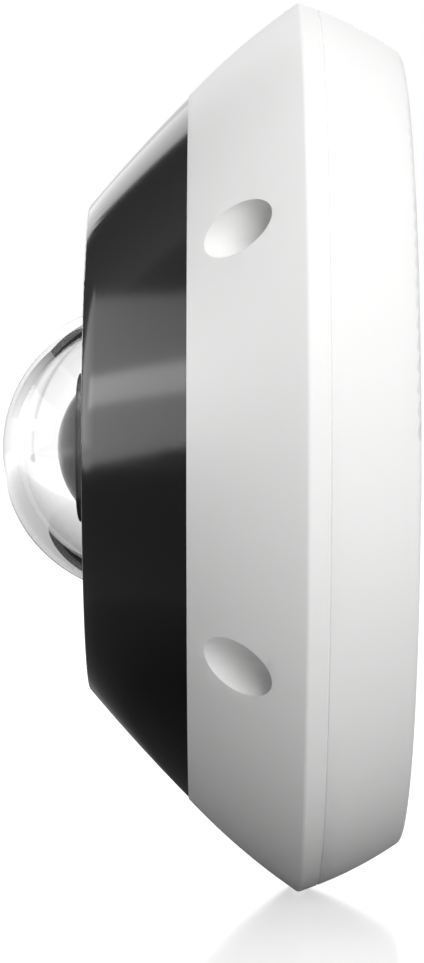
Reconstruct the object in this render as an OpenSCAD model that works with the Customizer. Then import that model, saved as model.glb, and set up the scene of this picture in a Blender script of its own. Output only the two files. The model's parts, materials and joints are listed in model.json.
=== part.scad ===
// Fisheye network camera for a wall or a ceiling: a conical housing with a dark
// front window and a clear dome over an upward-looking lens. Millimetres.
// Every piece is drawn with the wall at height 0 and the dome upwards, and
// hung() turns it so that the wall is the plane X = 0 and the dome looks along -X.

/* [Outer shape] */
// Diameter of the housing at its widest edge
body_d = 154; // [150:1:158]
// How far the back's edge stands in from the widest edge
heel_inset = 8.6; // [8:0.1:9.4]
// Height of the widest edge above the wall
brim_h = 17.5; // [16.5:0.5:18.5]
// Height of the joint between the cover and the base
parting_h = 14.2; // [13.6:0.2:15]
// How far the seam with the dark window stands in from the widest edge
seam_inset = 15.9; // [15:0.1:16.6]
// Height of that seam above the wall
seam_h = 36.2; // [35.4:0.2:37.2]
// How far the flat front face stands in from the seam
face_inset = 19.1; // [17.6:0.1:20]
// Height of the front face above the wall
face_h = 53.4; // [52.8:0.2:54.4]
// Radius of the outward curve of the white flank
flank_bulge_r = 115; // [90:5:200]
// Radius of the outward curve of the skirt behind the widest edge
skirt_bulge_r = 68; // [60:2:100]
// Radius of the outward curve of the dark window
window_bulge_r = 300; // [200:10:500]

/* [Walls] */
// Wall of the front cover
cover_wall = 3; // [2.5:0.1:3.4]
// Wall of the base
base_wall = 5; // [4.6:0.1:5.4]
// Floor of the base
floor_t = 4; // [3.6:0.1:4.4]
// Wall of the dark window
window_wall = 2.5; // [2:0.1:2.8]

/* [Dome] */
// Outer diameter of the dome's sphere
dome_d = 51.4; // [50.8:0.2:52.4]
// Wall of the dome
dome_wall = 3.2; // [2.8:0.1:3.4]
// How far the sphere's centre lies behind the front face
dome_sink = 9.8; // [9.4:0.1:10.2]
// Diameter of the dome's flange
dome_flange_d = 62; // [61:0.2:63]
// Thickness of the dome's flange
dome_flange_t = 2.5; // [2.2:0.1:2.8]

/* [Cover screws] */
// Number of cover screws
cover_screw_count = 6; // [3:3:6]
// Distance from the widest edge in to the middles of the screw recesses
recess_inset = 8.5; // [8:0.1:9]
// Diameter of a screw recess
recess_d = 9.2; // [8.8:0.1:9.6]
// Height of the shoulder that a screw head pulls on
recess_seat_h = 18.5; // [18:0.1:19]
// Thread diameter of a cover screw
cover_screw_d = 4; // [3.6:0.1:4.2]

/* [Mounting] */
// Distance from the back's edge in to the middles of the wall screw holes
wall_hole_inset = 11.4; // [11:0.1:12]
// Number of wall screw holes
wall_hole_count = 4; // [3:1:4]
// Diameter of a wall screw hole
wall_hole_d = 4.5; // [4:0.1:5]
// Distance from the back's edge in to the middle of the cable entry
entry_inset = 18.4; // [18:0.1:19.4]
// Diameter of the cable that the grommet takes
cable_d = 7; // [6:0.1:7.6]

/* [Lens] */
// Diameter of the ring around the front lens
lens_ring_d = 26.2; // [25.6:0.2:26.8]
// Height of the lens ring's front above the dome's centre
lens_ring_rise = 11.7; // [11.4:0.1:12.1]
// Radius of the front lens's outer surface
lens_curve_r = 15.3; // [14:0.1:17]
// Diameter of the front lens
lens_glass_d = 20.4; // [19.6:0.1:20.8]
// Diameter of the lens thread
lens_thread_d = 12; // [11.6:0.1:12.4]

/* [Electronics] */
// Distance from the cover's screw bosses in to the main board
board_margin = 13.1; // [12.6:0.1:14]
// Thickness of every circuit board
board_t = 1.6; // [1.4:0.1:1.8]
// Height of the main board's underside above the floor
board_rise = 8; // [7.8:0.1:8.4]
// How much the main board's straight edge cuts off its circle
board_edge_inset = 8; // [7.6:0.1:8.4]
// Number of infrared lamps
lamp_count = 8; // [4:4:16]
// Distance from the lamp board's edge in to the middles of the infrared lamps
lamp_inset = 3.4; // [3:0.1:3.8]

/* [Travel] */
// Side of one square filter in the day and night switch
filter_side = 8; // [7.6:0.1:8.2]
// Distance between the middles of the two filters
filter_pitch = 8.6; // [8.6:0.1:8.8]
// How far the reset button can be pressed
button_travel = 0.3; // [0.2:0.05:0.4]

/* [Hidden] */
$fn = 96;
// Fewer facets on the window, which has the most round features
window_fn = 60;
// More facets on circles that give only a short, gently curved stretch of outline
arc_fn = 720;

// How far a cut runs past the face that it opens
overrun = 1;
// Play around a shaft or a screw that turns or slides in a hole
running_gap = 0.08;
// Play around a piece that is laid into its seat
seat_gap = 0.15;
// Share of its own size by which a corner cutter reaches past the corner
corner_reach_share = 4;

// Outer shape
brim_r = body_d / 2;
back_r = brim_r - heel_inset;
seam_r = brim_r - seam_inset;
face_r = seam_r - face_inset;
dome_r = dome_d / 2;
// Rounding of the widest edge
brim_round = 0.9;
// Rounding of the back's edge
heel_round = 1.6;
// Rounding of the front face's edge
face_round = 1;
// Height of the cover's inner flange, which carries the window
flange_t = 3;
// Step in from the white cover to the dark window at the seam
seam_step = 0.3;
// Half of the fine groove that shows where the cover meets the base
parting_groove_r = 0.2;

// Groove and ring that seal the cover to the base
seal_w = 2;
seal_depth = 1.2;
seal_margin = 2;
// Foam ring on the back
foam_w = 4;
foam_t = 1.2;
foam_margin = 3.4;

// Screw recesses and the bosses below them
recess_wall = 2;
boss_wall = 3.4;
boss_hole_floor = 7;
screw_tip_gap = 0.6;
washer_t = 0.8;
washer_play = 0.4;
screw_head_h = 3.4;
screw_head_play = 0.7;
screw_socket_d = 4;
screw_socket_depth = 1.9;
screw_pin_d = 1.2;

// Pads on the floor around the wall screw holes
wall_pad_d = 10;
wall_pad_h = 1.5;
wall_hole_angle = 45;
// Shallow pockets in the back, between ribs
pocket_count = 8;
pocket_in_r = 18;
pocket_margin = 4.5;
pocket_depth = 1.5;
pocket_rib_w = 5;

// Cable grommet: neck in the floor, a flange on each side
grommet_neck_d = 14;
grommet_flange_d = 19;
grommet_flange_t = 1.3;
grommet_boss_wall = 3;
grommet_boss_h = 2;

// Window: inner flange, spigot in the cover and bosses for the dome's retainer
window_flange_t = 2.4;
spigot_t = 2.6;
spigot_inset = 7.1;
window_screw_inset = 4.5;
window_screw_d = 2.5;
window_screw_count = 6;
window_screw_bite = 1.8;
dome_gap = 0.25;
dome_seal_t = 1.6;
retainer_t = 2;
retainer_lap = 2;
retainer_rim = 3.2;
retainer_screw_margin = 4.4;
retainer_screw_count = 6;
retainer_screw_d = 2;
retainer_boss_wall = 1.8;
retainer_screw_bite = 3;
bezel_bevel = 0.8;

// Small screws: head height and how far the head is wider than the thread all round
small_head_h = 1.5;
small_head_rim = 1.1;
small_slot_w = 0.6;
small_slot_depth = 0.7;

// Main board and what stands on it
standoff_pitch_r = 33;
standoff_angle = 45;
standoff_flats = 5.4;
standoff_thread_d = 2.5;
standoff_bite = 7;
// Distance from a hexagon's middle to its corners as a share of its width across flats
hex_corner_share = 1 / sqrt(3);
post_d = 6.8;
chip_side = 15;
chip_t = 1.4;
pad_t = 1;
pad_margin = 0.5;
pedestal_margin = 3;
memory_w = 11;
memory_l = 13;
memory_t = 1;
memory_places = [[9, -12], [-9, -12]];
transformer_l = 10;
transformer_w = 9;
transformer_h = 6.2;
transformer_place_shares = [-0.68, 0.36];
transformer_round = 1;
capacitor_d = 6.3;
capacitor_h = 5.8;
capacitor_base_h = 1;
capacitor_place_shares = [[-0.68, -0.3], [-0.72, -0.5], [0.36, -0.68]];

// Network jack: body, the plug's opening and its contacts
jack_w = 16;
jack_l = 20.4;
jack_h = 13.4;
jack_open_w = 11.8;
jack_open_h = 8.2;
jack_open_depth = 15;
jack_open_lift = 3;
jack_key_w = 6;
jack_key_h = 1.6;
jack_contact_count = 8;
jack_contact_pitch = 1.02;
jack_contact_w = 0.45;
jack_contact_t = 0.4;
jack_contact_drop = 2.4;

// Memory card and its slot
card_w = 11;
card_l = 15;
card_t = 1;
slot_l = 14;
slot_wall = 1.4;
slot_lid_t = 0.5;
slot_inset = 26;
slot_back_wall = 1;
card_notch = 1.4;

// Reset switch
switch_side = 6;
switch_h = 3.5;
switch_place_shares = [0.66, 0.48];
button_d = 3.4;
button_h = 3.2;
button_sink = 2;

// Terminal blocks
terminal_depth = 8;
terminal_h = 10;
terminal_pitch = 5;
power_way_count = 2;
power_angle = 0;
alarm_way_count = 3;
alarm_angle = 90;
terminal_inset = 12;
terminal_screw_d = 3;
terminal_screw_t = 1.2;
terminal_wire_d = 2.6;
terminal_wire_h = 3.4;

// Flat ribbons from the main board to the sensor board and to the lamp board
ribbon_w = 10;
ribbon_t = 0.3;
ribbon_socket_w = 12;
ribbon_socket_l = 4;
ribbon_socket_h = 1.2;
ribbon_lift = 0.5;
ribbon_socket_y = 15.6;
ribbon_bend_r = 2.5;
// Steps outwards from the lamp ribbon's upright part to its lower and its upper socket
lamp_ribbon_run = 4;
lamp_socket_step = 5.5;
lamp_socket_inset = 3;

// Chassis plate on the standoffs
chassis_gap = 6.8;
chassis_side = 40;
chassis_t = 2;
chassis_arm_w = 9;
chassis_window_d = 14;

// Sensor board, sensor and lens holder on the chassis, and the lens in the dome
sensor_board_side = 40;
sensor_w = 9;
sensor_l = 11;
sensor_t = 1.8;
holder_w = 22;
holder_l = 31;
holder_h = 8;
tower_d = 18;
lock_ring_t = 2;
barrel_head_h = 7;
barrel_head_d = 24.6;
barrel_wall = 1.4;
lens_ring_h = 3.3;
lens_ring_lip = 0.7;
lens_ring_slope = 0.5;
lens_centre_t = 2.4;
lens_back_r = 9;
lens_edge_h = 2.2;
lens_seat_t = 1.2;
middle_front_r = 16;
middle_back_r = 9;
middle_tip_drop = 0.6;
middle_centre_t = 1.8;
rear_window_lip = 0.8;
rear_curve_r = 8;
rear_lens_t = 2.4;
rear_lens_rim_t = 1.4;
rear_ring_t = 1;

// Day and night filter switch
carriage_t = 1.8;
carriage_rim = 1.1;
carriage_play = 0.2;
carriage_lift = 3.4;
filter_t = 0.6;
filter_ledge = 0.5;
guide_w = 15.6;
rotor_arm_l = 7;
rotor_d = 4.4;
rotor_arm_w = 1.6;
rotor_arm_t = 0.9;
rotor_pin_d = 1.2;
rotor_x = 16.4;
pin_slot_play = 0.22;
ear_w = 4.4;
rotor_foot_gap = 0.15;
coil_d = 4.6;
coil_l = 7;
yoke_t = 1;
yoke_gap = 0.5;
yoke_h = 5.6;
yoke_w = 6.6;
yoke_arm_w = 3;

// Lamp board and the shroud in the dome
lamp_board_gap = 1;
lamp_board_rim = 4;
lamp_board_drop = 5.6;
lamp_side = 3.2;
lamp_base_h = 1;
lamp_lens_d = 2.6;
lamp_standoff_inset = 6;
lamp_standoff_flats = 5;
shroud_wall = 1.2;
shroud_dome_gap = 0.82;
shroud_lamp_gap = 3.5;
shroud_lens_gap = 0.3;
shroud_step_count = 3;
shroud_step_depth = 0.5;
shroud_step_rim = 0.4;

// Heights that follow from the sizes above: boards upwards from the floor
board_h = floor_t + board_rise;
board_top_h = board_h + board_t;
chassis_h = board_top_h + chassis_gap;
chassis_top_h = chassis_h + chassis_t;
sensor_board_top_h = chassis_top_h + board_t;
holder_top_h = sensor_board_top_h + holder_h;
carriage_h = sensor_board_top_h + carriage_lift;

// Lens and lamps down from the dome, with the holder's tower between the two
dome_centre_h = face_h - dome_sink;
lens_ring_top_h = dome_centre_h + lens_ring_rise;
barrel_top_h = lens_ring_top_h - lens_ring_h;
barrel_head_low_h = barrel_top_h - barrel_head_h;
tower_top_h = barrel_head_low_h - lock_ring_t;
tower_h = tower_top_h - holder_top_h;
lamp_board_h = dome_centre_h - lamp_board_drop;
lamp_board_top_h = lamp_board_h + board_t;
dome_seal_h = face_h - window_wall - dome_seal_t;
dome_flange_h = dome_seal_h - dome_flange_t;
retainer_h = dome_flange_h - retainer_t;
screw_tip_h = boss_hole_floor + screw_tip_gap;
shroud_top_h = barrel_top_h - seat_gap;

// Radii that follow from the sizes above
recess_pitch_r = brim_r - recess_inset;
wall_pitch_r = back_r - wall_hole_inset;
entry_offset = back_r - entry_inset;
pocket_out_r = entry_offset - grommet_neck_d / 2 - pocket_margin;
boss_r = cover_screw_d / 2 + boss_wall;
board_r = recess_pitch_r - boss_r - board_margin;
board_edge = board_r - board_edge_inset;
transformer_place = board_r * transformer_place_shares;
capacitor_places = board_r * capacitor_place_shares;
switch_place = board_r * switch_place_shares;
slot_x = board_r - slot_inset;
terminal_y = board_r - terminal_inset;
spigot_r = seam_r - spigot_inset;
window_screw_pitch_r = seam_r - window_screw_inset;
retainer_in_r = dome_r - retainer_lap;
retainer_pitch_r = dome_flange_d / 2 + retainer_screw_margin;
shroud_top_r = sqrt(pow(dome_r - dome_wall, 2) - pow(shroud_top_h - dome_centre_h, 2))
    - shroud_dome_gap;

// Angles that follow from the counts, and the lens's bores
standoff_angles = [for (i = [0:3]) standoff_angle + i * 90];
lens_bore_d = lens_thread_d - 2 * barrel_wall;
rear_window_d = lens_bore_d - 2 * rear_window_lip;
rear_lens_low_h = barrel_head_low_h - rear_lens_rim_t;
filter_travel = filter_pitch;
rotor_swing = asin(filter_travel / 2 / rotor_arm_l);

// Centre of the circle of radius r through p and q, to the left of the way from p to q
function arc_centre(p, q, r) =
    let (way = q - p, half = norm(way) / 2)
    (p + q) / 2 + [-way[1], way[0]] / norm(way) * sqrt(r * r - half * half);

// Where circles of radii ra about a and rb about b cross, to the right of the way from a to b
function crossing(a, b, ra, rb) =
    let (d = norm(b - a), u = (b - a) / d, along = (ra * ra - rb * rb + d * d) / 2 / d)
    a + u * along + [u[1], -u[0]] * sqrt(ra * ra - along * along);

// The point at distance r from a, in the direction of b
function towards(a, b, r) = a + (b - a) / norm(b - a) * r;

// Evenly spread angles, the first at turn
function spread(count, turn = 0) = [for (i = [0:count - 1]) turn + i * 360 / count];

// Radius of the skirt at a height, or of its inside at the given inset
function skirt_r(h, inset = 0) = skirt_centre[0]
    + sqrt(pow(skirt_bulge_r - inset, 2) - pow(skirt_centre[1] - h, 2));

// Radius of the window's inside at a height
function window_in_r(h) = window_centre[0]
    + sqrt(pow(window_bulge_r - window_wall, 2) - pow(h - window_centre[1], 2));

brim = [brim_r, brim_h];
heel = [back_r, 0];
seam = [seam_r, seam_h];
window_foot = [seam_r - seam_step, seam_h];
face_edge = [face_r, face_h];
skirt_centre = arc_centre(heel, brim, skirt_bulge_r);
flank_centre = arc_centre(brim, seam, flank_bulge_r);
window_centre = arc_centre(window_foot, face_edge, window_bulge_r);

// The lamp board reaches out to the spigot or to the window's inside, whichever is nearer
lamp_board_out_r = min(spigot_r - spigot_t, window_in_r(lamp_board_top_h + lamp_base_h))
    - lamp_board_gap;
lamp_pitch_r = lamp_board_out_r - lamp_inset;
lamp_standoff_pitch_r = lamp_pitch_r - lamp_standoff_inset;
lamp_socket_y = lamp_standoff_pitch_r - lamp_socket_inset;
main_lamp_socket_y = lamp_socket_y - lamp_socket_step;
lamp_ribbon_y = main_lamp_socket_y - lamp_ribbon_run;
shroud_flange_r = lamp_pitch_r - shroud_lamp_gap;
parting_edge = [skirt_r(parting_h), parting_h];
recess_angles = spread(cover_screw_count);

// A band of the profile plane from the axis outwards, between two heights
module band(low, high) translate([0, low]) square([body_d, high - low]);

// Everything inside a circle about centre, with facets to suit a long curve
module disc(centre, r) translate(centre)
    circle(r, $fn = r > brim_r ? arc_fn : $fn);

// Cuts the corner where two arcs meet and puts a round of radius r in its place.
// middle is the round's centre, and a and b are the points where it meets the arcs.
module rounded_corner(corner, middle, a, b, r) {
    difference() {
        children();
        polygon([middle, a, middle + (corner - middle) * corner_reach_share, b]);
    }
    disc(middle, r);
}

// Profile of the housing from the wall to the seam, with its two rounded edges
module housing_area(low, high) intersection() {
    brim_middle = crossing(flank_centre, skirt_centre,
        flank_bulge_r - brim_round, skirt_bulge_r - brim_round);
    heel_middle = [skirt_r(heel_round, heel_round), heel_round];
    difference() {
        band(low, high);
        disc(parting_edge, parting_groove_r);
    }
    rounded_corner(heel, heel_middle, towards(skirt_centre, heel_middle, skirt_bulge_r),
            [heel_middle[0], 0], heel_round)
        rounded_corner(brim, brim_middle,
                towards(flank_centre, brim_middle, flank_bulge_r),
                towards(skirt_centre, brim_middle, skirt_bulge_r), brim_round)
            intersection() {
                band(0, seam_h);
                disc(flank_centre, flank_bulge_r);
                disc(skirt_centre, skirt_bulge_r);
            }
}

// Profile of the hollow inside the housing
module hollow_area(low, high) intersection() {
    band(low, high);
    disc(flank_centre, flank_bulge_r - cover_wall);
    disc(skirt_centre, skirt_bulge_r - base_wall);
}

// A copy of the children at each angle, at radius r
module around(angles, r) for (a = angles) rotate(a) translate([r, 0]) children();

// A flat ring between two radii
module ring(r_in, r_out, h) difference() {
    cylinder(h, r = r_out);
    translate([0, 0, -overrun]) cylinder(h + 2 * overrun, r = r_in);
}

// A block with its underside at height 0, centred on the axis
module block(size) translate([-size[0] / 2, -size[1] / 2, 0]) cube(size);

// A small slotted screw that points upwards from the underside of its head
module small_screw(d, length) {
    difference() {
        translate([0, 0, -small_head_h]) cylinder(small_head_h, r = d / 2 + small_head_rim);
        translate([-d, -small_slot_w / 2, -small_head_h - overrun])
            cube([2 * d, small_slot_w, small_slot_depth + overrun]);
    }
    cylinder(length, d = d);
}

// A hexagonal spacer with a stud below it
module standoff(flats, h, stud) difference() {
    union() {
        cylinder(h, r = flats * hex_corner_share, $fn = 6);
        translate([0, 0, -stud]) cylinder(stud + h / 2, d = standoff_thread_d);
    }
    translate([0, 0, h / 2])
        cylinder(h, d = standoff_thread_d + 2 * running_gap);
}

// Turns a piece from its drawing position, dome up, to the wall
module hung() rotate([0, -90, 0]) children();

module base_housing() color("gainsboro") hung() difference() {
    union() {
        difference() {
            rotate_extrude() housing_area(0, parting_h);
            difference() {
                rotate_extrude() hollow_area(floor_t, parting_h + overrun);
                around(recess_angles, recess_pitch_r)
                    cylinder(parting_h + 2 * overrun, r = boss_r);
            }
        }
        block([chip_side + 2 * pedestal_margin, chip_side + 2 * pedestal_margin,
            board_h - chip_t - pad_t]);
        around(standoff_angles, standoff_pitch_r) cylinder(board_h, d = post_d);
        around(spread(wall_hole_count, wall_hole_angle), wall_pitch_r)
            cylinder(floor_t + wall_pad_h, d = wall_pad_d);
        translate([0, -entry_offset]) cylinder(floor_t + grommet_boss_h,
            d = grommet_neck_d + 2 * grommet_boss_wall);
    }
    around(recess_angles, recess_pitch_r) translate([0, 0, boss_hole_floor])
        cylinder(parting_h, d = cover_screw_d + 2 * running_gap);
    around(standoff_angles, standoff_pitch_r)
        translate([0, 0, board_h - standoff_bite - screw_tip_gap])
            cylinder(board_h, d = standoff_thread_d + 2 * running_gap);
    around(spread(wall_hole_count, wall_hole_angle), wall_pitch_r)
        translate([0, 0, -overrun]) cylinder(parting_h, d = wall_hole_d);
    translate([0, -entry_offset]) {
        translate([0, 0, -overrun]) cylinder(parting_h, d = grommet_neck_d);
        translate([0, 0, -overrun])
            cylinder(grommet_flange_t + overrun, d = grommet_flange_d + 2 * seat_gap);
    }
    translate([0, 0, parting_h - seal_depth]) seal_ring(seal_depth + overrun);
    translate([0, 0, -overrun]) foam_ring(foam_t + overrun);
    back_pockets();
}

// The ring that the cover's seal fills
module seal_ring(h) ring(skirt_r(parting_h) - seal_margin - seal_w,
    skirt_r(parting_h) - seal_margin, h);

// The ring that the foam fills
module foam_ring(h) ring(back_r - foam_margin - foam_w, back_r - foam_margin, h);

// Shallow pockets that leave a web of ribs on the back
module back_pockets() translate([0, 0, -overrun]) difference() {
    ring(pocket_in_r, pocket_out_r, pocket_depth + overrun);
    for (a = spread(pocket_count, 360 / pocket_count / 2)) rotate(a)
        translate([0, -pocket_rib_w / 2, -overrun])
            cube([body_d, pocket_rib_w, pocket_depth + 3 * overrun]);
    around(standoff_angles, standoff_pitch_r)
        translate([0, 0, -overrun]) cylinder(pocket_depth + 3 * overrun, d = post_d);
}

module wall_gasket() color("dimgray") hung() foam_ring(foam_t);

module cable_grommet() color("#202020") hung() translate([0, -entry_offset]) difference() {
    union() {
        cylinder(grommet_flange_t, d = grommet_flange_d);
        cylinder(floor_t + grommet_boss_h, d = grommet_neck_d - 2 * seat_gap);
        translate([0, 0, floor_t + grommet_boss_h])
            cylinder(grommet_flange_t, d = grommet_flange_d);
    }
    translate([0, 0, -overrun]) cylinder(parting_h, d = cable_d);
}

module cover_gasket() color("#303030") hung()
    translate([0, 0, parting_h - seal_depth]) seal_ring(seal_depth);

module main_board() color("darkgreen") hung() translate([0, 0, board_h]) difference() {
    intersection() {
        cylinder(board_t, r = board_r);
        translate([-board_r, -board_edge, -overrun])
            cube([2 * board_r, 2 * board_r, board_t + 2 * overrun]);
    }
    around(standoff_angles, standoff_pitch_r) translate([0, 0, -overrun])
        cylinder(board_t + 2 * overrun, d = standoff_thread_d + 2 * seat_gap);
}

module processor() color("#282828") hung() translate([0, 0, board_h - chip_t])
    block([chip_side, chip_side, chip_t]);

module thermal_pad() color("lightsteelblue") hung()
    translate([0, 0, board_h - chip_t - pad_t])
        block([chip_side + 2 * pad_margin, chip_side + 2 * pad_margin, pad_t]);

module memory_chips() color("#303030") hung() for (place = memory_places)
    translate([place[0], place[1], board_top_h]) block([memory_l, memory_w, memory_t]);

module power_transformer() color("#c8b060") hung()
    translate([transformer_place[0], transformer_place[1], board_top_h])
        for (side = [-1, 1]) {
            block([transformer_l, transformer_w - 2 * transformer_round, transformer_h]);
            translate([0, side * (transformer_w / 2 - transformer_round), 0])
                block([transformer_l - 2 * transformer_round, 2 * transformer_round,
                    transformer_h - transformer_round]);
        }

module capacitors() color("silver") hung() for (place = capacitor_places)
    translate([place[0], place[1], board_top_h]) {
        block([capacitor_d, capacitor_d, capacitor_base_h]);
        cylinder(capacitor_h, d = capacitor_d);
    }

// Puts the children at the middle of the board's straight edge
module at_board_edge() translate([0, -board_edge, board_top_h]) children();

module network_jack() color("lightgray") hung() at_board_edge() difference() {
    translate([-jack_w / 2, 0, 0]) cube([jack_w, jack_l, jack_h]);
    translate([-jack_open_w / 2, -overrun, jack_open_lift])
        cube([jack_open_w, jack_open_depth + overrun, jack_open_h]);
    translate([-jack_key_w / 2, -overrun, jack_open_lift - jack_key_h])
        cube([jack_key_w, jack_open_depth + overrun, jack_key_h + overrun]);
}

module jack_contacts() color("gold") hung() at_board_edge()
    translate([0, 0, jack_open_lift + jack_open_h])
        for (i = [0:jack_contact_count - 1])
            translate([(i - (jack_contact_count - 1) / 2) * jack_contact_pitch, 0, 0])
                rotate([90, 0, 90]) translate([0, 0, -jack_contact_w / 2])
                    linear_extrude(jack_contact_w) polygon([
                        [jack_open_depth, 0],
                        [jack_open_depth, -jack_contact_t],
                        [jack_open_depth / 2, -jack_contact_drop],
                        [jack_open_depth / 2 - jack_contact_t, -jack_contact_drop],
                        [jack_open_depth - 2 * jack_contact_t, 0]]);

module card_slot() color("silver") hung() translate([slot_x, 0, board_top_h]) difference() {
    translate([0, -card_w / 2 - slot_wall, 0])
        cube([slot_l, card_w + 2 * slot_wall, card_t + 2 * slot_lid_t + 2 * seat_gap]);
    translate([slot_back_wall, -card_w / 2 - seat_gap, slot_lid_t])
        cube([slot_l, card_w + 2 * seat_gap, card_t + 2 * seat_gap]);
}

module memory_card() color("#202020") hung()
    translate([slot_x + slot_back_wall, 0, board_top_h + slot_lid_t + seat_gap])
        linear_extrude(card_t) polygon([
            [0, -card_w / 2], [card_l, -card_w / 2], [card_l, card_w / 2],
            [card_l / 2, card_w / 2], [card_l / 2 - card_notch, card_w / 2 - card_notch],
            [0, card_w / 2 - card_notch]]);

module reset_switch() color("#383838") hung()
    translate([switch_place[0], switch_place[1], board_top_h]) difference() {
        block([switch_side, switch_side, switch_h]);
        translate([0, 0, switch_h - button_sink - button_travel])
            cylinder(switch_h, d = button_d + 2 * seat_gap);
    }

module reset_button() color("firebrick") hung()
    translate([switch_place[0], switch_place[1], board_top_h + switch_h - button_sink])
        cylinder(button_h, d = button_d);

// A block of screw terminals: a wire hole in the front of each way and a screw hole above
module terminal(ways) difference() {
    block([ways * terminal_pitch, terminal_depth, terminal_h]);
    for (i = [0:ways - 1]) translate([(i - (ways - 1) / 2) * terminal_pitch, 0, 0]) {
        translate([0, 0, terminal_wire_h]) rotate([-90, 0, 0])
            cylinder(terminal_depth, d = terminal_wire_d);
        translate([0, 0, terminal_h - 2 * terminal_screw_t])
            cylinder(terminal_h, d = terminal_screw_d + 2 * seat_gap);
    }
}

// Puts the children near the board's edge, with the front outwards
module terminal_place(turn) rotate(turn)
    translate([0, terminal_y + terminal_depth / 2, board_top_h]) children();

module power_terminal() color("seagreen") hung()
    terminal_place(power_angle) terminal(power_way_count);

module alarm_terminal() color("seagreen") hung()
    terminal_place(alarm_angle) terminal(alarm_way_count);

module terminal_screws() color("silver") hung()
    for (block = [[power_angle, power_way_count], [alarm_angle, alarm_way_count]])
        terminal_place(block[0]) for (i = [0:block[1] - 1])
            translate([(i - (block[1] - 1) / 2) * terminal_pitch, 0,
                    terminal_h - 2 * terminal_screw_t])
                difference() {
                    cylinder(terminal_screw_t, d = terminal_screw_d);
                    translate([-terminal_screw_d, -small_slot_w / 2, terminal_screw_t / 2])
                        cube([2 * terminal_screw_d, small_slot_w, terminal_screw_t]);
                }

// A ribbon's socket, with its mouth at y = 0 and the way out along -y
module ribbon_socket() difference() {
    translate([-ribbon_socket_w / 2, 0, 0])
        cube([ribbon_socket_w, ribbon_socket_l, ribbon_socket_h]);
    translate([-ribbon_w / 2 - seat_gap, -overrun, ribbon_lift - seat_gap])
        cube([ribbon_w + 2 * seat_gap, ribbon_socket_l / 2 + overrun,
            ribbon_t + 2 * seat_gap]);
}

// Sockets of the sensor's ribbon, mouths outwards, and of the lamps' ribbon, mouths inwards
module ribbon_connectors() color("ivory") hung() {
    for (h = [board_top_h, sensor_board_top_h])
        translate([0, ribbon_socket_y + ribbon_socket_l, h]) mirror([0, 1, 0]) ribbon_socket();
    translate([0, main_lamp_socket_y, board_top_h]) ribbon_socket();
    translate([0, lamp_socket_y, lamp_board_h]) mirror([0, 0, 1]) ribbon_socket();
}

// A quarter of a bend in a ribbon's side view, about centre
module bend(centre, r, turn) translate(centre) rotate(turn) intersection() {
    difference() {
        circle(r + ribbon_t / 2);
        circle(r - ribbon_t / 2);
    }
    square(2 * r);
}

// A ribbon whose side view is the children, in y and height
module ribbon() translate([-ribbon_w / 2, 0, 0]) rotate([90, 0, 90])
    linear_extrude(ribbon_w) children();

// The ribbon leaves the lower socket, turns round the boards' edge and enters the upper one
module sensor_ribbon() color("orange") hung() ribbon() {
    low = board_top_h + ribbon_lift;
    high = sensor_board_top_h + ribbon_lift;
    start = ribbon_socket_y + ribbon_socket_l / 2;
    edge = sensor_board_side / 2 + seat_gap;
    turn_r = (high - low) / 2;
    centre = [edge, low + turn_r + ribbon_t / 2];
    for (h = [low, high]) translate([start, h]) square([edge - start, ribbon_t]);
    for (turn = [0, -90]) bend(centre, turn_r, turn);
}

// The ribbon leaves its socket inwards, rises past the chassis and turns out to the lamps
module lamp_ribbon() color("orange") hung() ribbon() {
    low = board_top_h + ribbon_lift + ribbon_t / 2;
    high = lamp_board_h - ribbon_lift - ribbon_t / 2;
    out = lamp_ribbon_y + ribbon_bend_r;
    for (end = [[low, main_lamp_socket_y], [high, lamp_socket_y]])
        translate([out, end[0] - ribbon_t / 2])
            square([end[1] + ribbon_socket_l / 2 - out, ribbon_t]);
    translate([lamp_ribbon_y - ribbon_t / 2, low + ribbon_bend_r])
        square([ribbon_t, high - low - 2 * ribbon_bend_r]);
    bend([out, low + ribbon_bend_r], ribbon_bend_r, 180);
    bend([out, high - ribbon_bend_r], ribbon_bend_r, 90);
}

module board_standoffs() color("goldenrod") hung() around(standoff_angles, standoff_pitch_r)
    translate([0, 0, board_top_h])
        standoff(standoff_flats, chassis_h - board_top_h, board_t + standoff_bite);

module chassis_plate() color("lightgray") hung() translate([0, 0, chassis_h]) difference() {
    union() {
        block([chassis_side, chassis_side, chassis_t]);
        for (a = standoff_angles) rotate(a) {
            translate([0, -chassis_arm_w / 2, 0])
                cube([lamp_standoff_pitch_r, chassis_arm_w, chassis_t]);
            translate([lamp_standoff_pitch_r, 0]) cylinder(chassis_t, d = chassis_arm_w);
        }
    }
    translate([0, 0, -overrun]) cylinder(chassis_t + 2 * overrun, d = chassis_window_d);
    for (r = [standoff_pitch_r, lamp_standoff_pitch_r]) around(standoff_angles, r)
        translate([0, 0, -overrun])
            cylinder(chassis_t + 2 * overrun, d = standoff_thread_d + 2 * seat_gap);
}

module frame_screws() color("silver") hung() around(standoff_angles, standoff_pitch_r)
    translate([0, 0, chassis_top_h]) mirror([0, 0, 1])
        small_screw(standoff_thread_d, chassis_t + (chassis_h - board_top_h) / 2 - screw_tip_gap);

module sensor_board() color("darkgreen") hung()
    translate([0, 0, chassis_top_h]) block([sensor_board_side, sensor_board_side, board_t]);

module image_sensor() color("#4a5a70") hung()
    translate([0, 0, sensor_board_top_h]) block([sensor_w, sensor_l, sensor_t]);

carriage_w = filter_side + 2 * carriage_rim;
carriage_l = filter_pitch + filter_side + 2 * carriage_rim;
way_l = carriage_l + filter_travel + 2 * carriage_play;

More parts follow.
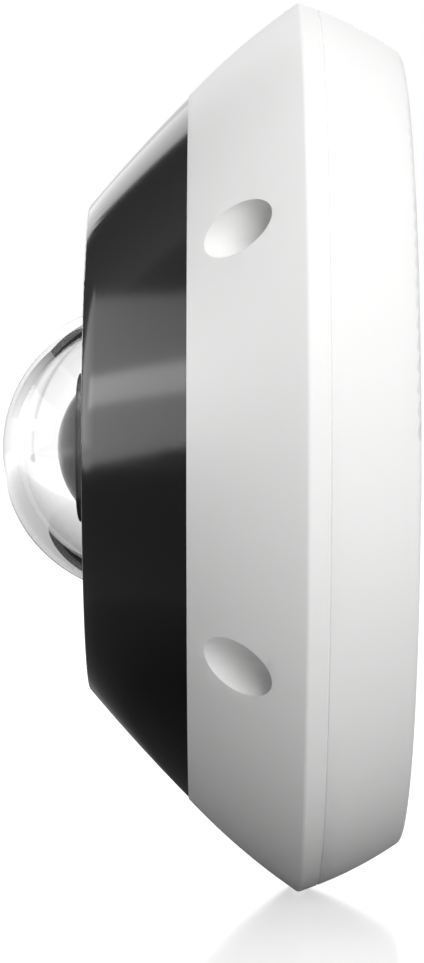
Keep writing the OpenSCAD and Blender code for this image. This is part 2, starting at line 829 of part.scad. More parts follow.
module lens_holder() color("#262626") hung() difference() {
    union() {
        translate([0, 0, sensor_board_top_h]) block([holder_w, holder_l, holder_h]);
        translate([0, 0, holder_top_h]) cylinder(tower_h, d = tower_d);
    }
    // Pocket of the guide plate, and above it the carriage's way with its end stops
    translate([0, 0, sensor_board_top_h - overrun])
        block([guide_w + 2 * seat_gap, way_l + 2 * seat_gap,
            carriage_lift - carriage_play + overrun]);
    translate([0, 0, carriage_h - carriage_play - overrun])
        block([carriage_w + 2 * carriage_play, way_l,
            carriage_t + 2 * carriage_play + overrun]);
    // Room for the carriage's ear and the rotor's arm, and the light path
    translate([0, -ear_w / 2 - filter_travel / 2 - carriage_play, carriage_h - carriage_play])
        cube([holder_w, ear_w + filter_travel + 2 * carriage_play,
            carriage_t + rotor_arm_t + 3 * carriage_play]);
    translate([0, 0, carriage_h]) cylinder(holder_h, d = lens_bore_d);
    translate([0, 0, holder_top_h]) cylinder(tower_h + overrun,
        d = lens_thread_d + 2 * running_gap);
}

// Plate under the carriage, with a window over the sensor
module filter_guide() color("#303030") hung() translate([0, 0, sensor_board_top_h])
    difference() {
        block([guide_w, way_l, carriage_lift - carriage_play]);
        translate([0, 0, -overrun]) block([sensor_w + 4 * seat_gap, sensor_l + 4 * seat_gap,
            carriage_lift + 2 * overrun]);
    }

// The carriage is drawn at the day end of its travel, with the infrared filter on the axis
day_shift = filter_pitch / 2;

module filter_carriage() color("#3a3a3a") hung()
    translate([0, day_shift, carriage_h]) difference() {
        union() {
            block([carriage_w, carriage_l, carriage_t]);
            translate([0, -ear_w / 2, 0])
                cube([rotor_x - rotor_arm_l * cos(rotor_swing) + ear_w / 2, ear_w,
                    carriage_t]);
        }
        for (side = [-1, 1]) translate([0, side * filter_pitch / 2, 0]) {
            translate([0, 0, -overrun]) block([filter_side - 2 * filter_ledge,
                filter_side - 2 * filter_ledge, carriage_t + 2 * overrun]);
            translate([0, 0, carriage_t - filter_t])
                block([filter_side, filter_side, filter_t + overrun]);
        }
        // Slot for the rotor's pin
        translate([rotor_x - rotor_arm_l - rotor_pin_d / 2 - pin_slot_play,
                -rotor_pin_d / 2 - pin_slot_play, -overrun])
            cube([rotor_arm_l * (1 - cos(rotor_swing)) + rotor_pin_d + 2 * pin_slot_play,
                rotor_pin_d + 2 * pin_slot_play, carriage_t + 2 * overrun]);
    }

// One filter, which lies on the ledge in the carriage
module filter_glass(side) translate([0, day_shift + side * filter_pitch / 2,
        carriage_h + carriage_t - filter_t])
    block([filter_side - seat_gap, filter_side - seat_gap, filter_t]);

module ir_cut_filter() color("#7fb0c0") hung() filter_glass(-1);

module clear_filter() color("azure") hung() filter_glass(1);

// The magnet turns about an upright axis beside the holder, and its pin shifts the carriage
module filter_rotor() color("#5a5a5a") hung() translate([rotor_x, 0, 0]) {
    arm_h = carriage_h + carriage_t + carriage_play;
    foot_h = sensor_board_top_h + yoke_t + rotor_foot_gap;
    translate([0, 0, foot_h]) cylinder(arm_h - foot_h + rotor_arm_t, d = rotor_d);
    translate([0, 0, sensor_board_top_h + rotor_foot_gap])
        cylinder(yoke_t, d = rotor_pin_d);
    rotate(180 - rotor_swing) {
        translate([0, -rotor_arm_w / 2, arm_h]) cube([rotor_arm_l, rotor_arm_w, rotor_arm_t]);
        translate([rotor_arm_l, 0, carriage_h]) cylinder(arm_h - carriage_h + rotor_arm_t,
            d = rotor_pin_d);
    }
}

// Distance from the rotor's axis to the inner face of each pole
pole_y = rotor_d / 2 + yoke_gap;

// Iron frame: a base with the rotor's bearing, a pole on each side and the coil's far end
module filter_yoke() color("#8a8f94") hung() translate([rotor_x, 0, sensor_board_top_h])
    difference() {
        union() {
            translate([-yoke_w / 2, -pole_y - yoke_t, 0])
                cube([yoke_w, 2 * pole_y + 3 * yoke_t + coil_l, yoke_t]);
            for (y = [-pole_y - yoke_t, pole_y, pole_y + yoke_t + coil_l])
                translate([-yoke_arm_w / 2, y, 0]) cube([yoke_arm_w, yoke_t, yoke_h]);
        }
        translate([0, 0, -overrun]) cylinder(yoke_h, d = rotor_pin_d + 2 * running_gap);
    }

module filter_coil() color("#b87333") hung()
    translate([rotor_x, pole_y + yoke_t, sensor_board_top_h + yoke_t + coil_d / 2])
        rotate([-90, 0, 0]) cylinder(coil_l, d = coil_d);

module focus_lock_ring() color("#404040") hung() translate([0, 0, tower_top_h])
    ring(lens_thread_d / 2 + running_gap, tower_d / 2, lock_ring_t);

module lens_barrel() color("#1c1c1c") hung() difference() {
    thread_low_h = holder_top_h + seat_gap;
    union() {
        translate([0, 0, barrel_head_low_h]) cylinder(barrel_head_h, d = barrel_head_d);
        translate([0, 0, thread_low_h])
            cylinder(barrel_top_h - thread_low_h, d = lens_thread_d);
    }
    translate([0, 0, thread_low_h - overrun])
        cylinder(barrel_head_low_h - thread_low_h + overrun, d = lens_bore_d);
    translate([0, 0, thread_low_h]) cylinder(barrel_top_h, d = rear_window_d);
    translate([0, 0, barrel_head_low_h + barrel_wall])
        cylinder(barrel_head_h, d = barrel_head_d - 2 * barrel_wall);
}

module rear_lens_ring() color("#303030") hung()
    translate([0, 0, rear_lens_low_h - rear_ring_t])
        ring(rear_window_d / 2, lens_bore_d / 2 - running_gap, rear_ring_t);

// Rear lens: a flat rim against the barrel's shoulder and a domed back
module rear_lens() color("lightcyan") hung() rotate_extrude() {
    translate([0, rear_lens_low_h])
        square([lens_bore_d / 2 - running_gap, rear_lens_rim_t]);
    intersection() {
        disc([0, barrel_head_low_h - rear_lens_t + rear_curve_r], rear_curve_r);
        translate([0, barrel_head_low_h - rear_lens_t])
            square([rear_window_d / 2 - seat_gap, rear_lens_t]);
    }
}

// Middle lens, which stands on the floor of the barrel's head
module middle_lens() color("#2c3a48") hung() rotate_extrude() {
    tip_h = barrel_top_h - middle_tip_drop;
    low_h = barrel_head_low_h + barrel_wall;
    intersection() {
        difference() {
            disc([0, tip_h - middle_front_r], middle_front_r);
            disc([0, tip_h - middle_centre_t - middle_back_r], middle_back_r);
        }
        translate([0, low_h])
            square([barrel_head_d / 2 - barrel_wall - seat_gap, barrel_head_h]);
    }
}

// Meniscus: a domed front, a hollow back and a straight edge in the ring
module front_lens() color("#2c3a48") hung() rotate_extrude() {
    tip_h = lens_tip_h;
    intersection() {
        difference() {
            disc([0, tip_h - lens_curve_r], lens_curve_r);
            disc([0, tip_h - lens_centre_t - lens_back_r], lens_back_r);
        }
        translate([0, lens_ring_top_h - lens_edge_h])
            square([lens_glass_d / 2, lens_curve_r]);
    }
}

// The front lens leaves the ring at its inner edge
lens_tip_h = lens_ring_top_h + lens_curve_r
    - sqrt(pow(lens_curve_r, 2) - pow(lens_glass_d / 2, 2));

module lens_ring() color("#181818") hung() rotate_extrude() difference() {
    polygon([
        [lens_glass_d / 2 - lens_seat_t, barrel_top_h],
        [lens_ring_d / 2, barrel_top_h],
        [lens_ring_d / 2, lens_ring_top_h - lens_ring_slope],
        [lens_glass_d / 2 + lens_ring_lip, lens_ring_top_h],
        [lens_glass_d / 2 - lens_seat_t, lens_ring_top_h]]);
    translate([0, lens_ring_top_h - lens_edge_h])
        square([lens_glass_d / 2 + seat_gap, lens_ring_h]);
}

module lamp_standoffs() color("goldenrod") hung()
    around(standoff_angles, lamp_standoff_pitch_r) translate([0, 0, chassis_top_h])
        standoff(lamp_standoff_flats, lamp_board_h - chassis_top_h, chassis_t);

module lamp_board() color("#1d3b2a") hung() translate([0, 0, lamp_board_h]) difference() {
    ring(lamp_standoff_pitch_r - lamp_board_rim, lamp_board_out_r, board_t);
    around(standoff_angles, lamp_standoff_pitch_r) translate([0, 0, -overrun])
        cylinder(board_t + 2 * overrun, d = standoff_thread_d + 2 * seat_gap);
}

module infrared_lamps() color("#d8d0c0") hung()
    around(spread(lamp_count, 180 / lamp_count), lamp_pitch_r)
        translate([0, 0, lamp_board_top_h]) {
            block([lamp_side, lamp_side, lamp_base_h]);
            translate([0, 0, lamp_base_h]) intersection() {
                sphere(d = lamp_lens_d);
                cylinder(lamp_lens_d, d = lamp_lens_d);
            }
        }

// Black cup around the lens: a stepped top, a tube and a flange on the lamp board
module lens_shroud() color("#141414") hung() {
    hole_r = barrel_head_d / 2 + shroud_lens_gap;
    step = (shroud_top_r - hole_r - shroud_step_rim) / shroud_step_count;
    difference() {
        rotate_extrude() {
            translate([hole_r, shroud_top_h - shroud_wall])
                square([shroud_top_r - hole_r, shroud_wall]);
            translate([shroud_top_r - shroud_wall, lamp_board_top_h])
                square([shroud_wall, shroud_top_h - lamp_board_top_h]);
            translate([shroud_top_r - shroud_wall, lamp_board_top_h])
                square([shroud_flange_r - shroud_top_r + shroud_wall, shroud_wall]);
        }
        for (i = [0:shroud_step_count - 1])
            translate([0, 0, shroud_top_h - shroud_step_depth])
                ring(hole_r + step * i + step / 2, hole_r + step * (i + 1), shroud_wall);
        around(standoff_angles, lamp_standoff_pitch_r) cylinder(barrel_top_h,
            d = standoff_thread_d + 2 * seat_gap);
    }
}

module shroud_screws() color("silver") hung()
    around(standoff_angles, lamp_standoff_pitch_r)
        translate([0, 0, lamp_board_top_h + shroud_wall]) mirror([0, 0, 1])
            small_screw(standoff_thread_d, shroud_wall + board_t
                + (lamp_board_h - chassis_top_h) / 2 - screw_tip_gap);

module front_cover() color("white") hung() difference() {
    rotate_extrude() housing_area(parting_h, seam_h);
    difference() {
        rotate_extrude() hollow_area(parting_h - overrun, seam_h - flange_t);
        around(recess_angles, recess_pitch_r) cylinder(seam_h, d = recess_d + 2 * recess_wall);
    }
    cylinder(seam_h + overrun, r = spigot_r + seat_gap);
    around(recess_angles, recess_pitch_r) {
        translate([0, 0, recess_seat_h]) cylinder(seam_h, d = recess_d);
        cylinder(seam_h, d = cover_screw_d + 2 * seat_gap);
    }
    around(spread(window_screw_count), window_screw_pitch_r)
        cylinder(seam_h + overrun, d = window_screw_d + 2 * seat_gap);
}

// Profile of the dark window: a curved cone, a flat front and a rounded edge between them
module window_area() {
    edge_middle = [window_centre[0] + sqrt(pow(window_bulge_r - face_round, 2)
        - pow(face_h - face_round - window_centre[1], 2)), face_h - face_round];
    opening_r = sqrt(pow(dome_r + dome_gap, 2) - pow(face_h - dome_centre_h, 2));
    difference() {
        rounded_corner(face_edge, edge_middle,
                [edge_middle[0], face_h],
                towards(window_centre, edge_middle, window_bulge_r), face_round)
            intersection() {
                band(seam_h, face_h);
                disc(window_centre, window_bulge_r);
            }
        intersection() {
            band(seam_h + window_flange_t, face_h - window_wall);
            disc(window_centre, window_bulge_r - window_wall);
        }
        translate([0, seam_h - overrun])
            square([spigot_r - spigot_t, window_flange_t + 2 * overrun]);
        disc([0, dome_centre_h], dome_r + dome_gap);
        polygon([[0, face_h - bezel_bevel],
            [opening_r, face_h - bezel_bevel],
            [opening_r + bezel_bevel + overrun, face_h + overrun],
            [0, face_h + overrun]]);
    }
    translate([spigot_r - spigot_t, seam_h - flange_t])
        square([spigot_t, flange_t + window_flange_t]);
}

module ir_window() color("#101010") hung() difference() {
    $fn = window_fn;
    union() {
        rotate_extrude() window_area();
        around(spread(retainer_screw_count), retainer_pitch_r)
            translate([0, 0, dome_flange_h]) cylinder(face_h - window_wall / 2 - dome_flange_h,
                d = retainer_screw_d + 2 * retainer_boss_wall);
    }
    around(spread(retainer_screw_count), retainer_pitch_r)
        translate([0, 0, dome_flange_h - overrun])
            cylinder(retainer_screw_bite + screw_tip_gap + overrun,
                d = retainer_screw_d + 2 * running_gap);
    around(spread(window_screw_count), window_screw_pitch_r)
        translate([0, 0, seam_h - overrun]) cylinder(window_screw_bite + seat_gap + overrun,
            d = window_screw_d + 2 * running_gap);
}

module window_screws() color("silver") hung()
    around(spread(window_screw_count), window_screw_pitch_r)
        translate([0, 0, seam_h - flange_t])
            small_screw(window_screw_d, flange_t + window_screw_bite);

module dome_bubble() color("#e8f4ff", 0.35) hung() rotate_extrude() difference() {
    union() {
        intersection() {
            disc([0, dome_centre_h], dome_r);
            band(dome_flange_h, face_h + dome_r);
        }
        translate([0, dome_flange_h]) square([dome_flange_d / 2, dome_flange_t]);
    }
    disc([0, dome_centre_h], dome_r - dome_wall);
}

module dome_gasket() color("#282828") hung() translate([0, 0, dome_seal_h])
    ring(dome_r + seat_gap, dome_flange_d / 2, dome_seal_t);

module dome_retainer() color("silver") hung() translate([0, 0, retainer_h]) difference() {
    ring(retainer_in_r, retainer_pitch_r + retainer_rim, retainer_t);
    around(spread(retainer_screw_count), retainer_pitch_r) translate([0, 0, -overrun])
        cylinder(retainer_t + 2 * overrun, d = retainer_screw_d + 2 * seat_gap);
}

module retainer_screws() color("silver") hung()
    around(spread(retainer_screw_count), retainer_pitch_r) translate([0, 0, retainer_h])
        small_screw(retainer_screw_d, retainer_t + retainer_screw_bite);

module sealing_washers() color("#303030") hung() around(recess_angles, recess_pitch_r)
    translate([0, 0, recess_seat_h])
        ring(cover_screw_d / 2 + running_gap, recess_d / 2 - washer_play, washer_t);

// Cover screws with a six-sided socket and a guard pin in its middle
module cover_screws() color("silver") hung() around(recess_angles, recess_pitch_r) {
    head_h = recess_seat_h + washer_t;
    difference() {
        translate([0, 0, head_h])
            cylinder(screw_head_h, d = recess_d - 2 * screw_head_play);
        translate([0, 0, head_h + screw_head_h - screw_socket_depth]) difference() {
            cylinder(screw_socket_depth + overrun, d = screw_socket_d, $fn = 6);
            cylinder(screw_socket_depth - overrun / 2, d = screw_pin_d);
        }
    }
    translate([0, 0, screw_tip_h]) cylinder(head_h - screw_tip_h, d = cover_screw_d);
}

base_housing();
wall_gasket();
cable_grommet();
cover_gasket();
main_board();
processor();
thermal_pad();
memory_chips();
power_transformer();
capacitors();
network_jack();
jack_contacts();
card_slot();
memory_card();
reset_switch();
reset_button();
power_terminal();
alarm_terminal();
terminal_screws();
ribbon_connectors();
sensor_ribbon();
lamp_ribbon();
board_standoffs();
chassis_plate();
frame_screws();
sensor_board();
image_sensor();
lens_holder();
filter_guide();
filter_carriage();
ir_cut_filter();
clear_filter();
filter_rotor();
filter_yoke();
filter_coil();
focus_lock_ring();
lens_barrel();
rear_lens_ring();
rear_lens();
middle_lens();
front_lens();
lens_ring();
lamp_standoffs();
lamp_board();
infrared_lamps();
lens_shroud();
shroud_screws();
front_cover();
ir_window();
window_screws();
dome_bubble();
dome_gasket();
dome_retainer();
retainer_screws();
sealing_washers();
cover_screws();
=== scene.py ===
"""A fisheye network camera for a wall or a ceiling, dressed for rendering.

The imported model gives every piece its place. This script sets the stage, gives each piece its
finish and models what the plain solids leave out, such as softened edges, lens surfaces, screw
threads, coil windings and the small parts on the boards. The stage and the finishes are in metres.
Drawings and the sizes of the sub-assemblies are in millimetres.
"""

import json
import logging
import math
from collections.abc import Callable, Sequence
from dataclasses import dataclass
from enum import Enum

import bmesh
import bpy
from mathutils import Matrix, Vector


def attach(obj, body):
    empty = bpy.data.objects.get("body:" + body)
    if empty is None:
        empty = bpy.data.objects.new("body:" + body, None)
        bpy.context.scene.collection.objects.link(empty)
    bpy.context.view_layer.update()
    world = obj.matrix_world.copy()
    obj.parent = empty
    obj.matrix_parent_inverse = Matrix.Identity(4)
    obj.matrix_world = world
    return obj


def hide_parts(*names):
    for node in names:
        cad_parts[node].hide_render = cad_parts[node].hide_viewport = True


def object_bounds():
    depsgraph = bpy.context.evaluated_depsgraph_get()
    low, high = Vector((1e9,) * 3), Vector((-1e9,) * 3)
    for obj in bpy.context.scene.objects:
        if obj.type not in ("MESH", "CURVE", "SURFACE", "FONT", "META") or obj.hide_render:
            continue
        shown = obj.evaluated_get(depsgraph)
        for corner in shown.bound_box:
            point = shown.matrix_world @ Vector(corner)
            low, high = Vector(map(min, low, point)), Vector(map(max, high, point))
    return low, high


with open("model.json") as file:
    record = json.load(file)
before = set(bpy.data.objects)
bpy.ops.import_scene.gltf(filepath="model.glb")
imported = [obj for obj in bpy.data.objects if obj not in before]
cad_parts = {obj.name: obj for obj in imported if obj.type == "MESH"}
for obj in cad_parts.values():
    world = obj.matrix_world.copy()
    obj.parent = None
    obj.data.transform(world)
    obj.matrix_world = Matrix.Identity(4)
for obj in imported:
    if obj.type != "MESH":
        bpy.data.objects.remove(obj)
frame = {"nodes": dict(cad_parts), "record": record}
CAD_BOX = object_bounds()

LOG = logging.getLogger("fisheye_camera")
NODES: dict[str, bpy.types.Object] = frame["nodes"]
MM = 0.001

Socket = bpy.types.NodeSocket
Node = bpy.types.Node
Material = bpy.types.Material
Piece = bpy.types.Object
Triple = tuple[float, float, float]
Radius = float | Callable[[float], float]
Profile = list[tuple[Radius, float]]
Outline = list[tuple[float, float]]
Patches = tuple[tuple[float, float, float, float], ...]

# Turns a drawing with the dome upwards, in millimetres, to its place on the wall.
HUNG = Matrix(((0, 0, -MM, 0), (0, MM, 0, 0), (MM, 0, 0, 0), (0, 0, 0, 1)))

# The photograph's camera: its focal length, the picture's height and the optical centre's row in
# pixels, and where the eye stood, to the side of the housing's axis and out from the wall.
PHOTO_HEIGHT_PX = 963
PHOTO_FOCAL_PX = 3200
PHOTO_AXIS_ROW_PX = 447
EYE_DISTANCE = 559.6 * MM
EYE_FORWARD = 32.2 * MM
SENSOR_MM = 36.0

# Scales of the colour's drift and of a casting's lumps, as shares of the grain's.
DRIFT_SCALE = 0.04
LUMP_SCALE = 0.3

# A board's pattern: a track's width, how far one runs before it steps and how far apart the dots
# stand, as shares of the tracks' pitch, and a dot's radius, as a share of the dots' own.
TRACK_SHARE = 0.16
TRACK_RUN = 6.0
DOT_SPACING = 3.1
DOT_SHARE = 0.13

# Depth of a screw's thread, as a share of its pitch.
THREAD_SHARE = 0.4

# Angles, in degrees. An edge stays sharp in the shading above the first and gets a rounding above
# the second, and faces that differ by less than the third are merged before that.
SHARP_ANGLE = 35.0
ROUNDED_ANGLE = 32.0
FLAT_ANGLE = 0.5


class Texture(Enum):
    """The kind of fine surface that a finish has."""

    GRAIN = "grain"
    POLISHED = "polished"
    CAST = "cast"


@dataclass(frozen=True)
class Finish:
    """One opaque finish: its colour, gloss and fine surface.

    Attributes:
        name: material name.
        color: base colour, linear RGB.
        roughness: mean roughness.
        metallic: 1 for bare metal, 0 for anything else.
        texture: the kind of fine surface.
        scale: size of the surface's grain, in repeats per metre.
        depth: height of the grain, in metres.
        variation: how far the colour drifts, as a share.
        coat: weight of a clear coat.
        stretch: how much longer the grain is along each axis.
        specular: level of the plain reflection.
    """

    name: str
    color: Triple
    roughness: float
    metallic: float = 0.0
    texture: Texture = Texture.GRAIN
    scale: float = 1500.0
    depth: float = 0.00002
    variation: float = 0.06
    coat: float = 0.0
    stretch: Triple = (1.0, 1.0, 1.0)
    specular: float = 0.5

    def build(self) -> Material:
        """Makes the node material.

        Returns:
            The material, with its colour, roughness and bump driven by object coordinates.
        """
        tree = NodeSketch(self.name)
        shader = tree.principled(
            metallic=self.metallic, coat=self.coat, ior=1.5, specular=self.specular
        )
        place = tree.object_place(self.stretch)
        polished = self.texture is Texture.POLISHED
        drift = tree.noise(place, self.scale * DRIFT_SCALE, detail=3.0)
        fine = tree.noise(place, self.scale, detail=2.0 if polished else 4.0)
        shade = tree.range(drift, 1.0 - self.variation, 1.0 + self.variation)
        tree.link(tree.tint(self.color, shade), shader.inputs["Base Color"])
        spread = 0.15 if polished else 0.3
        rough = tree.range(fine, self.roughness * (1 - spread), self.roughness * (1 + spread))
        tree.link(rough, shader.inputs["Roughness"])
        height = fine
        if self.texture is Texture.CAST:
            lumps = tree.noise(place, self.scale * LUMP_SCALE, detail=2.0)
            height = tree.mix_values(fine, lumps, 0.5)
        tree.link(tree.bump(height, self.depth), shader.inputs["Normal"])
        return tree.finish(shader.outputs["BSDF"])


@dataclass(frozen=True)
class Glass:
    """A clear or tinted finish that light passes through.

    Attributes:
        name: material name.
        color: tint, linear RGB.
        ior: index of refraction.
        roughness: blur of what shows through.
        body: share of the surface that is opaque and dark: partly a dark coating, partly painted
            shade for the lens's dark inside.
        coating_and_shade_color: colour of the opaque share, a dark coating and painted shade.
    """

    name: str
    color: Triple
    ior: float = 1.5
    roughness: float = 0.0
    body: float = 0.0
    coating_and_shade_color: Triple = (0.01, 0.01, 0.012)

    def build(self) -> Material:
        """Makes the node material.

        Returns:
            A refracting material, with faint cloudiness in its roughness.
        """
        tree = NodeSketch(self.name)
        shader = tree.principled(
            metallic=0.0, coat=0.0, ior=self.ior, specular=0.5, transmission=1.0 - self.body
        )
        drift = tree.noise(tree.object_place(), scale=60.0, detail=2.0)
        parts = zip(self.color, self.coating_and_shade_color)
        base = tuple(clear * (1 - self.body) + dark * self.body for clear, dark in parts)
        tree.link(tree.tint(base, tree.range(drift, 0.99, 1.0)), shader.inputs["Base Color"])
        rough = tree.range(drift, self.roughness, self.roughness + 0.004)
        tree.link(rough, shader.inputs["Roughness"])
        return tree.finish(shader.outputs["BSDF"])


@dataclass(frozen=True)
class BoardFinish:
    """Solder mask over copper tracks.

    Attributes:
        name: material name.
        mask: colour of the mask over bare board, linear RGB.
        track: colour of the mask over copper, linear RGB.
        pitch: distance between tracks, in metres.
    """

    name: str
    mask: Triple
    track: Triple
    pitch: float = 1.4 * MM

    def build(self) -> Material:
        """Makes the node material.

        Returns:
            A glossy board with tracks that run and step across it.
        """
        tree = NodeSketch(self.name)
        shader = tree.principled(metallic=0.0, coat=0.3, ior=1.5, specular=0.5)
        place = tree.object_place(turn=(0.0, math.pi / 2, 0.0))
        tracks = tree.tracks(place, self.pitch)
        vias = tree.dots(place, self.pitch * DOT_SPACING)
        copper = tree.maximum(tracks, vias)
        tree.link(tree.mix_colors(copper, self.mask, self.track), shader.inputs["Base Color"])
        tree.link(tree.range(copper, 0.34, 0.26), shader.inputs["Roughness"])
        tree.link(tree.bump(copper, 0.00003), shader.inputs["Normal"])
        return tree.finish(shader.outputs["BSDF"])


class NodeGraph:
    """A node tree and the steps that materials and geometry share."""

    def __init__(self, tree: bpy.types.NodeTree) -> None:
        """Takes the tree that the nodes go into."""
        self.tree = tree

    def node(self, kind: str, **settings: object) -> Node:
        """Adds a node of a kind, with its settings."""
        node = self.tree.nodes.new(kind)
        for key, value in settings.items():
            setattr(node, key, value)
        return node

    def link(self, source: Socket, target: Socket) -> None:
        """Joins an output to an input."""
        self.tree.links.new(source, target)

    def math(self, operation: str, first: Socket, second: Socket | float = 0.0) -> Socket:
        """One step of arithmetic on a varying value and another or a constant."""
        step = self.node("ShaderNodeMath", operation=operation)
        self.link(first, step.inputs[0])
        if isinstance(second, Socket):
            self.link(second, step.inputs[1])
        else:
            step.inputs[1].default_value = second
        return step.outputs[0]


class NodeSketch(NodeGraph):
    """A new node material and the few kinds of node that the finishes are made of."""

    def __init__(self, name: str, world: bpy.types.World | None = None) -> None:
        """Starts an empty material called name, or clears the nodes of a world."""
        self.owner = world or bpy.data.materials.new(name)
        self.owner.use_nodes = True
        super().__init__(self.owner.node_tree)
        self.tree.nodes.clear()

    def principled(
        self, metallic: float, coat: float, ior: float, specular: float, transmission: float = 0.0
    ) -> Node:
        """Adds the main shader, with its constants on its own sockets.

        Args:
            metallic: share of bare metal.
            coat: weight of the clear coat.
            ior: index of refraction.
            specular: level of the plain reflection.
            transmission: share of light that passes through.

        Returns:
            The shader node.
        """
        shader = self.node("ShaderNodeBsdfPrincipled")
        for socket, value in (("Metallic", metallic), ("Coat Weight", coat), ("IOR", ior),
                              ("Specular IOR Level", specular),
                              ("Transmission Weight", transmission)):
            shader.inputs[socket].default_value = value
        return shader

    def object_place(
        self, stretch: Sequence[float] = (1.0, 1.0, 1.0), turn: Sequence[float] = (0.0, 0.0, 0.0)
    ) -> Socket:
        """Object coordinates, drawn out along the axes and turned.

        Args:
            stretch: how much longer the pattern is along each axis.
            turn: rotation of the pattern, in radians.

        Returns:
            The vector output.
        """
        coords = self.node("ShaderNodeTexCoord")
        mapping = self.node("ShaderNodeMapping")
        mapping.inputs["Rotation"].default_value = turn
        mapping.inputs["Scale"].default_value = tuple(1.0 / s for s in stretch)
        self.link(coords.outputs["Object"], mapping.inputs["Vector"])
        return mapping.outputs["Vector"]

    def noise(self, place: Socket, scale: float, detail: float) -> Socket:
        """Cloudy noise from 0 to 1 at a scale."""
        noise = self.node("ShaderNodeTexNoise")
        noise.inputs["Scale"].default_value = scale
        noise.inputs["Detail"].default_value = detail
        self.link(place, noise.inputs["Vector"])
        return noise.outputs["Fac"]

    def range(self, value: Socket, low: float, high: float) -> Socket:
        """Maps a value from 0 to 1 onto a range."""
        ranged = self.node("ShaderNodeMapRange")
        ranged.inputs["To Min"].default_value = low
        ranged.inputs["To Max"].default_value = high
        self.link(value, ranged.inputs["Value"])
        return ranged.outputs["Result"]

    def tint(self, color: Sequence[float], shade: Socket) -> Socket:
        """A colour times a varying shade.

        Args:
            color: linear RGB.
            shade: the varying factor.

        Returns:
            The colour output.
        """
        scale = self.node("ShaderNodeVectorMath", operation="SCALE")
        scale.inputs[0].default_value = color[:3]
        self.link(shade, scale.inputs["Scale"])
        return scale.outputs["Vector"]

    def mix_colors(self, share: Socket, first: Sequence[float], second: Sequence[float]) -> Socket:
        """Two colours, mixed by a varying share."""
        mix = self.node("ShaderNodeMix", data_type="RGBA")
        mix.inputs[6].default_value = (*first, 1.0)
        mix.inputs[7].default_value = (*second, 1.0)
        self.link(share, mix.inputs[0])
        return mix.outputs[2]

    def mix_values(self, first: Socket, second: Socket, share: float) -> Socket:
        """Two values, mixed by a fixed share."""
        mix = self.node("ShaderNodeMix")
        mix.inputs[0].default_value = share
        self.link(first, mix.inputs[2])
        self.link(second, mix.inputs[3])
        return mix.outputs[0]

    def maximum(self, first: Socket, second: Socket) -> Socket:
        """The larger of two values."""
        return self.math("MAXIMUM", first, second)

    def tracks(self, place: Socket, pitch: float) -> Socket:
        """Bands that run along the board and step sideways now and then.

        Args:
            place: the pattern's coordinates.
            pitch: distance between bands, in metres.

        Returns:
            1 on a track and 0 beside it.
        """
        bricks = self.node("ShaderNodeTexBrick", offset=0.5)
        for socket, value in (("Scale", 1.0), ("Mortar Size", pitch * TRACK_SHARE),
                              ("Mortar Smooth", 0.1), ("Brick Width", pitch * TRACK_RUN),
                              ("Row Height", pitch)):
            bricks.inputs[socket].default_value = value
        self.link(place, bricks.inputs["Vector"])
        return bricks.outputs["Fac"]

    def dots(self, place: Socket, pitch: float) -> Socket:
        """Small round spots, scattered about one to each cell of the pitch."""
        cells = self.node("ShaderNodeTexVoronoi")
        cells.inputs["Scale"].default_value = 1.0 / pitch
        self.link(place, cells.inputs["Vector"])
        return self.math("LESS_THAN", cells.outputs["Distance"], DOT_SHARE)

    def bump(self, height: Socket, depth: float) -> Socket:
        """A normal from a height that varies by depth."""
        bump = self.node("ShaderNodeBump")
        bump.inputs["Strength"].default_value = 1.0
        bump.inputs["Distance"].default_value = depth
        self.link(height, bump.inputs["Height"])
        return bump.outputs["Normal"]

    def length(self, place: Socket) -> Socket:
        """The distance of a place from the origin."""
        length = self.node("ShaderNodeVectorMath", operation="LENGTH")
        self.link(place, length.inputs[0])
        return length.outputs["Value"]

    def white(self, kind: str, strength: Socket | float) -> Node:
        """Adds a white shader of a kind, with a strength."""
        shader = self.node(kind)
        shader.inputs["Color"].default_value = (1.0, 1.0, 1.0, 1.0)
        if isinstance(strength, Socket):
            self.link(strength, shader.inputs["Strength"])
        else:
            shader.inputs["Strength"].default_value = strength
        return shader

    def mixed(self, share: Socket, first: Node, second: Node) -> Socket:
        """Two shaders, mixed by a varying share."""
        mix = self.node("ShaderNodeMixShader")
        self.link(share, mix.inputs[0])
        self.link(first.outputs[0], mix.inputs[1])
        self.link(second.outputs[0], mix.inputs[2])
        return mix.outputs[0]

    def seen_directly(self) -> Socket:
        """1 for rays that come straight from the camera, a mirror or a glass."""
        path = self.node("ShaderNodeLightPath")
        mirror = self.maximum(path.outputs["Is Glossy Ray"], path.outputs["Is Transmission Ray"])
        return self.maximum(path.outputs["Is Camera Ray"], mirror)

    def finish(self, surface: Socket) -> Material:
        """Joins the surface to the output and returns the material."""
        output = self.node("ShaderNodeOutputMaterial")
        self.link(surface, output.inputs["Surface"])
        return self.owner


def at(x: float = 0.0, y: float = 0.0, height: float = 0.0, turn: float = 0.0) -> Matrix:
    """A place in a drawing, turned about its upright axis.

    Args:
        x: place along x, in millimetres.
        y: place along y.
        height: place above the wall.
        turn: turn, in degrees.

    Returns:
        The matrix of the place.
    """
    return Matrix.Translation((x, y, height)) @ Matrix.Rotation(math.radians(turn), 4, "Z")


def arc(
    centre: tuple[float, float], radius: float, start: float, end: float, steps: int
) -> Outline:
    """Points along an arc.

    Args:
        centre: the arc's centre.
        radius: its radius.
        start: first angle, in degrees from the first axis.
        end: last angle.
        steps: number of stretches.

    Returns:
        The points, both ends included.
    """
    angles = [math.radians(start + (end - start) * i / steps) for i in range(steps + 1)]
    return [(centre[0] + radius * math.cos(a), centre[1] + radius * math.sin(a)) for a in angles]


def all_round(steps: int) -> list[float]:
    """Even angles all round, in radians, from 0."""
    return [2 * math.pi * i / steps for i in range(steps)]


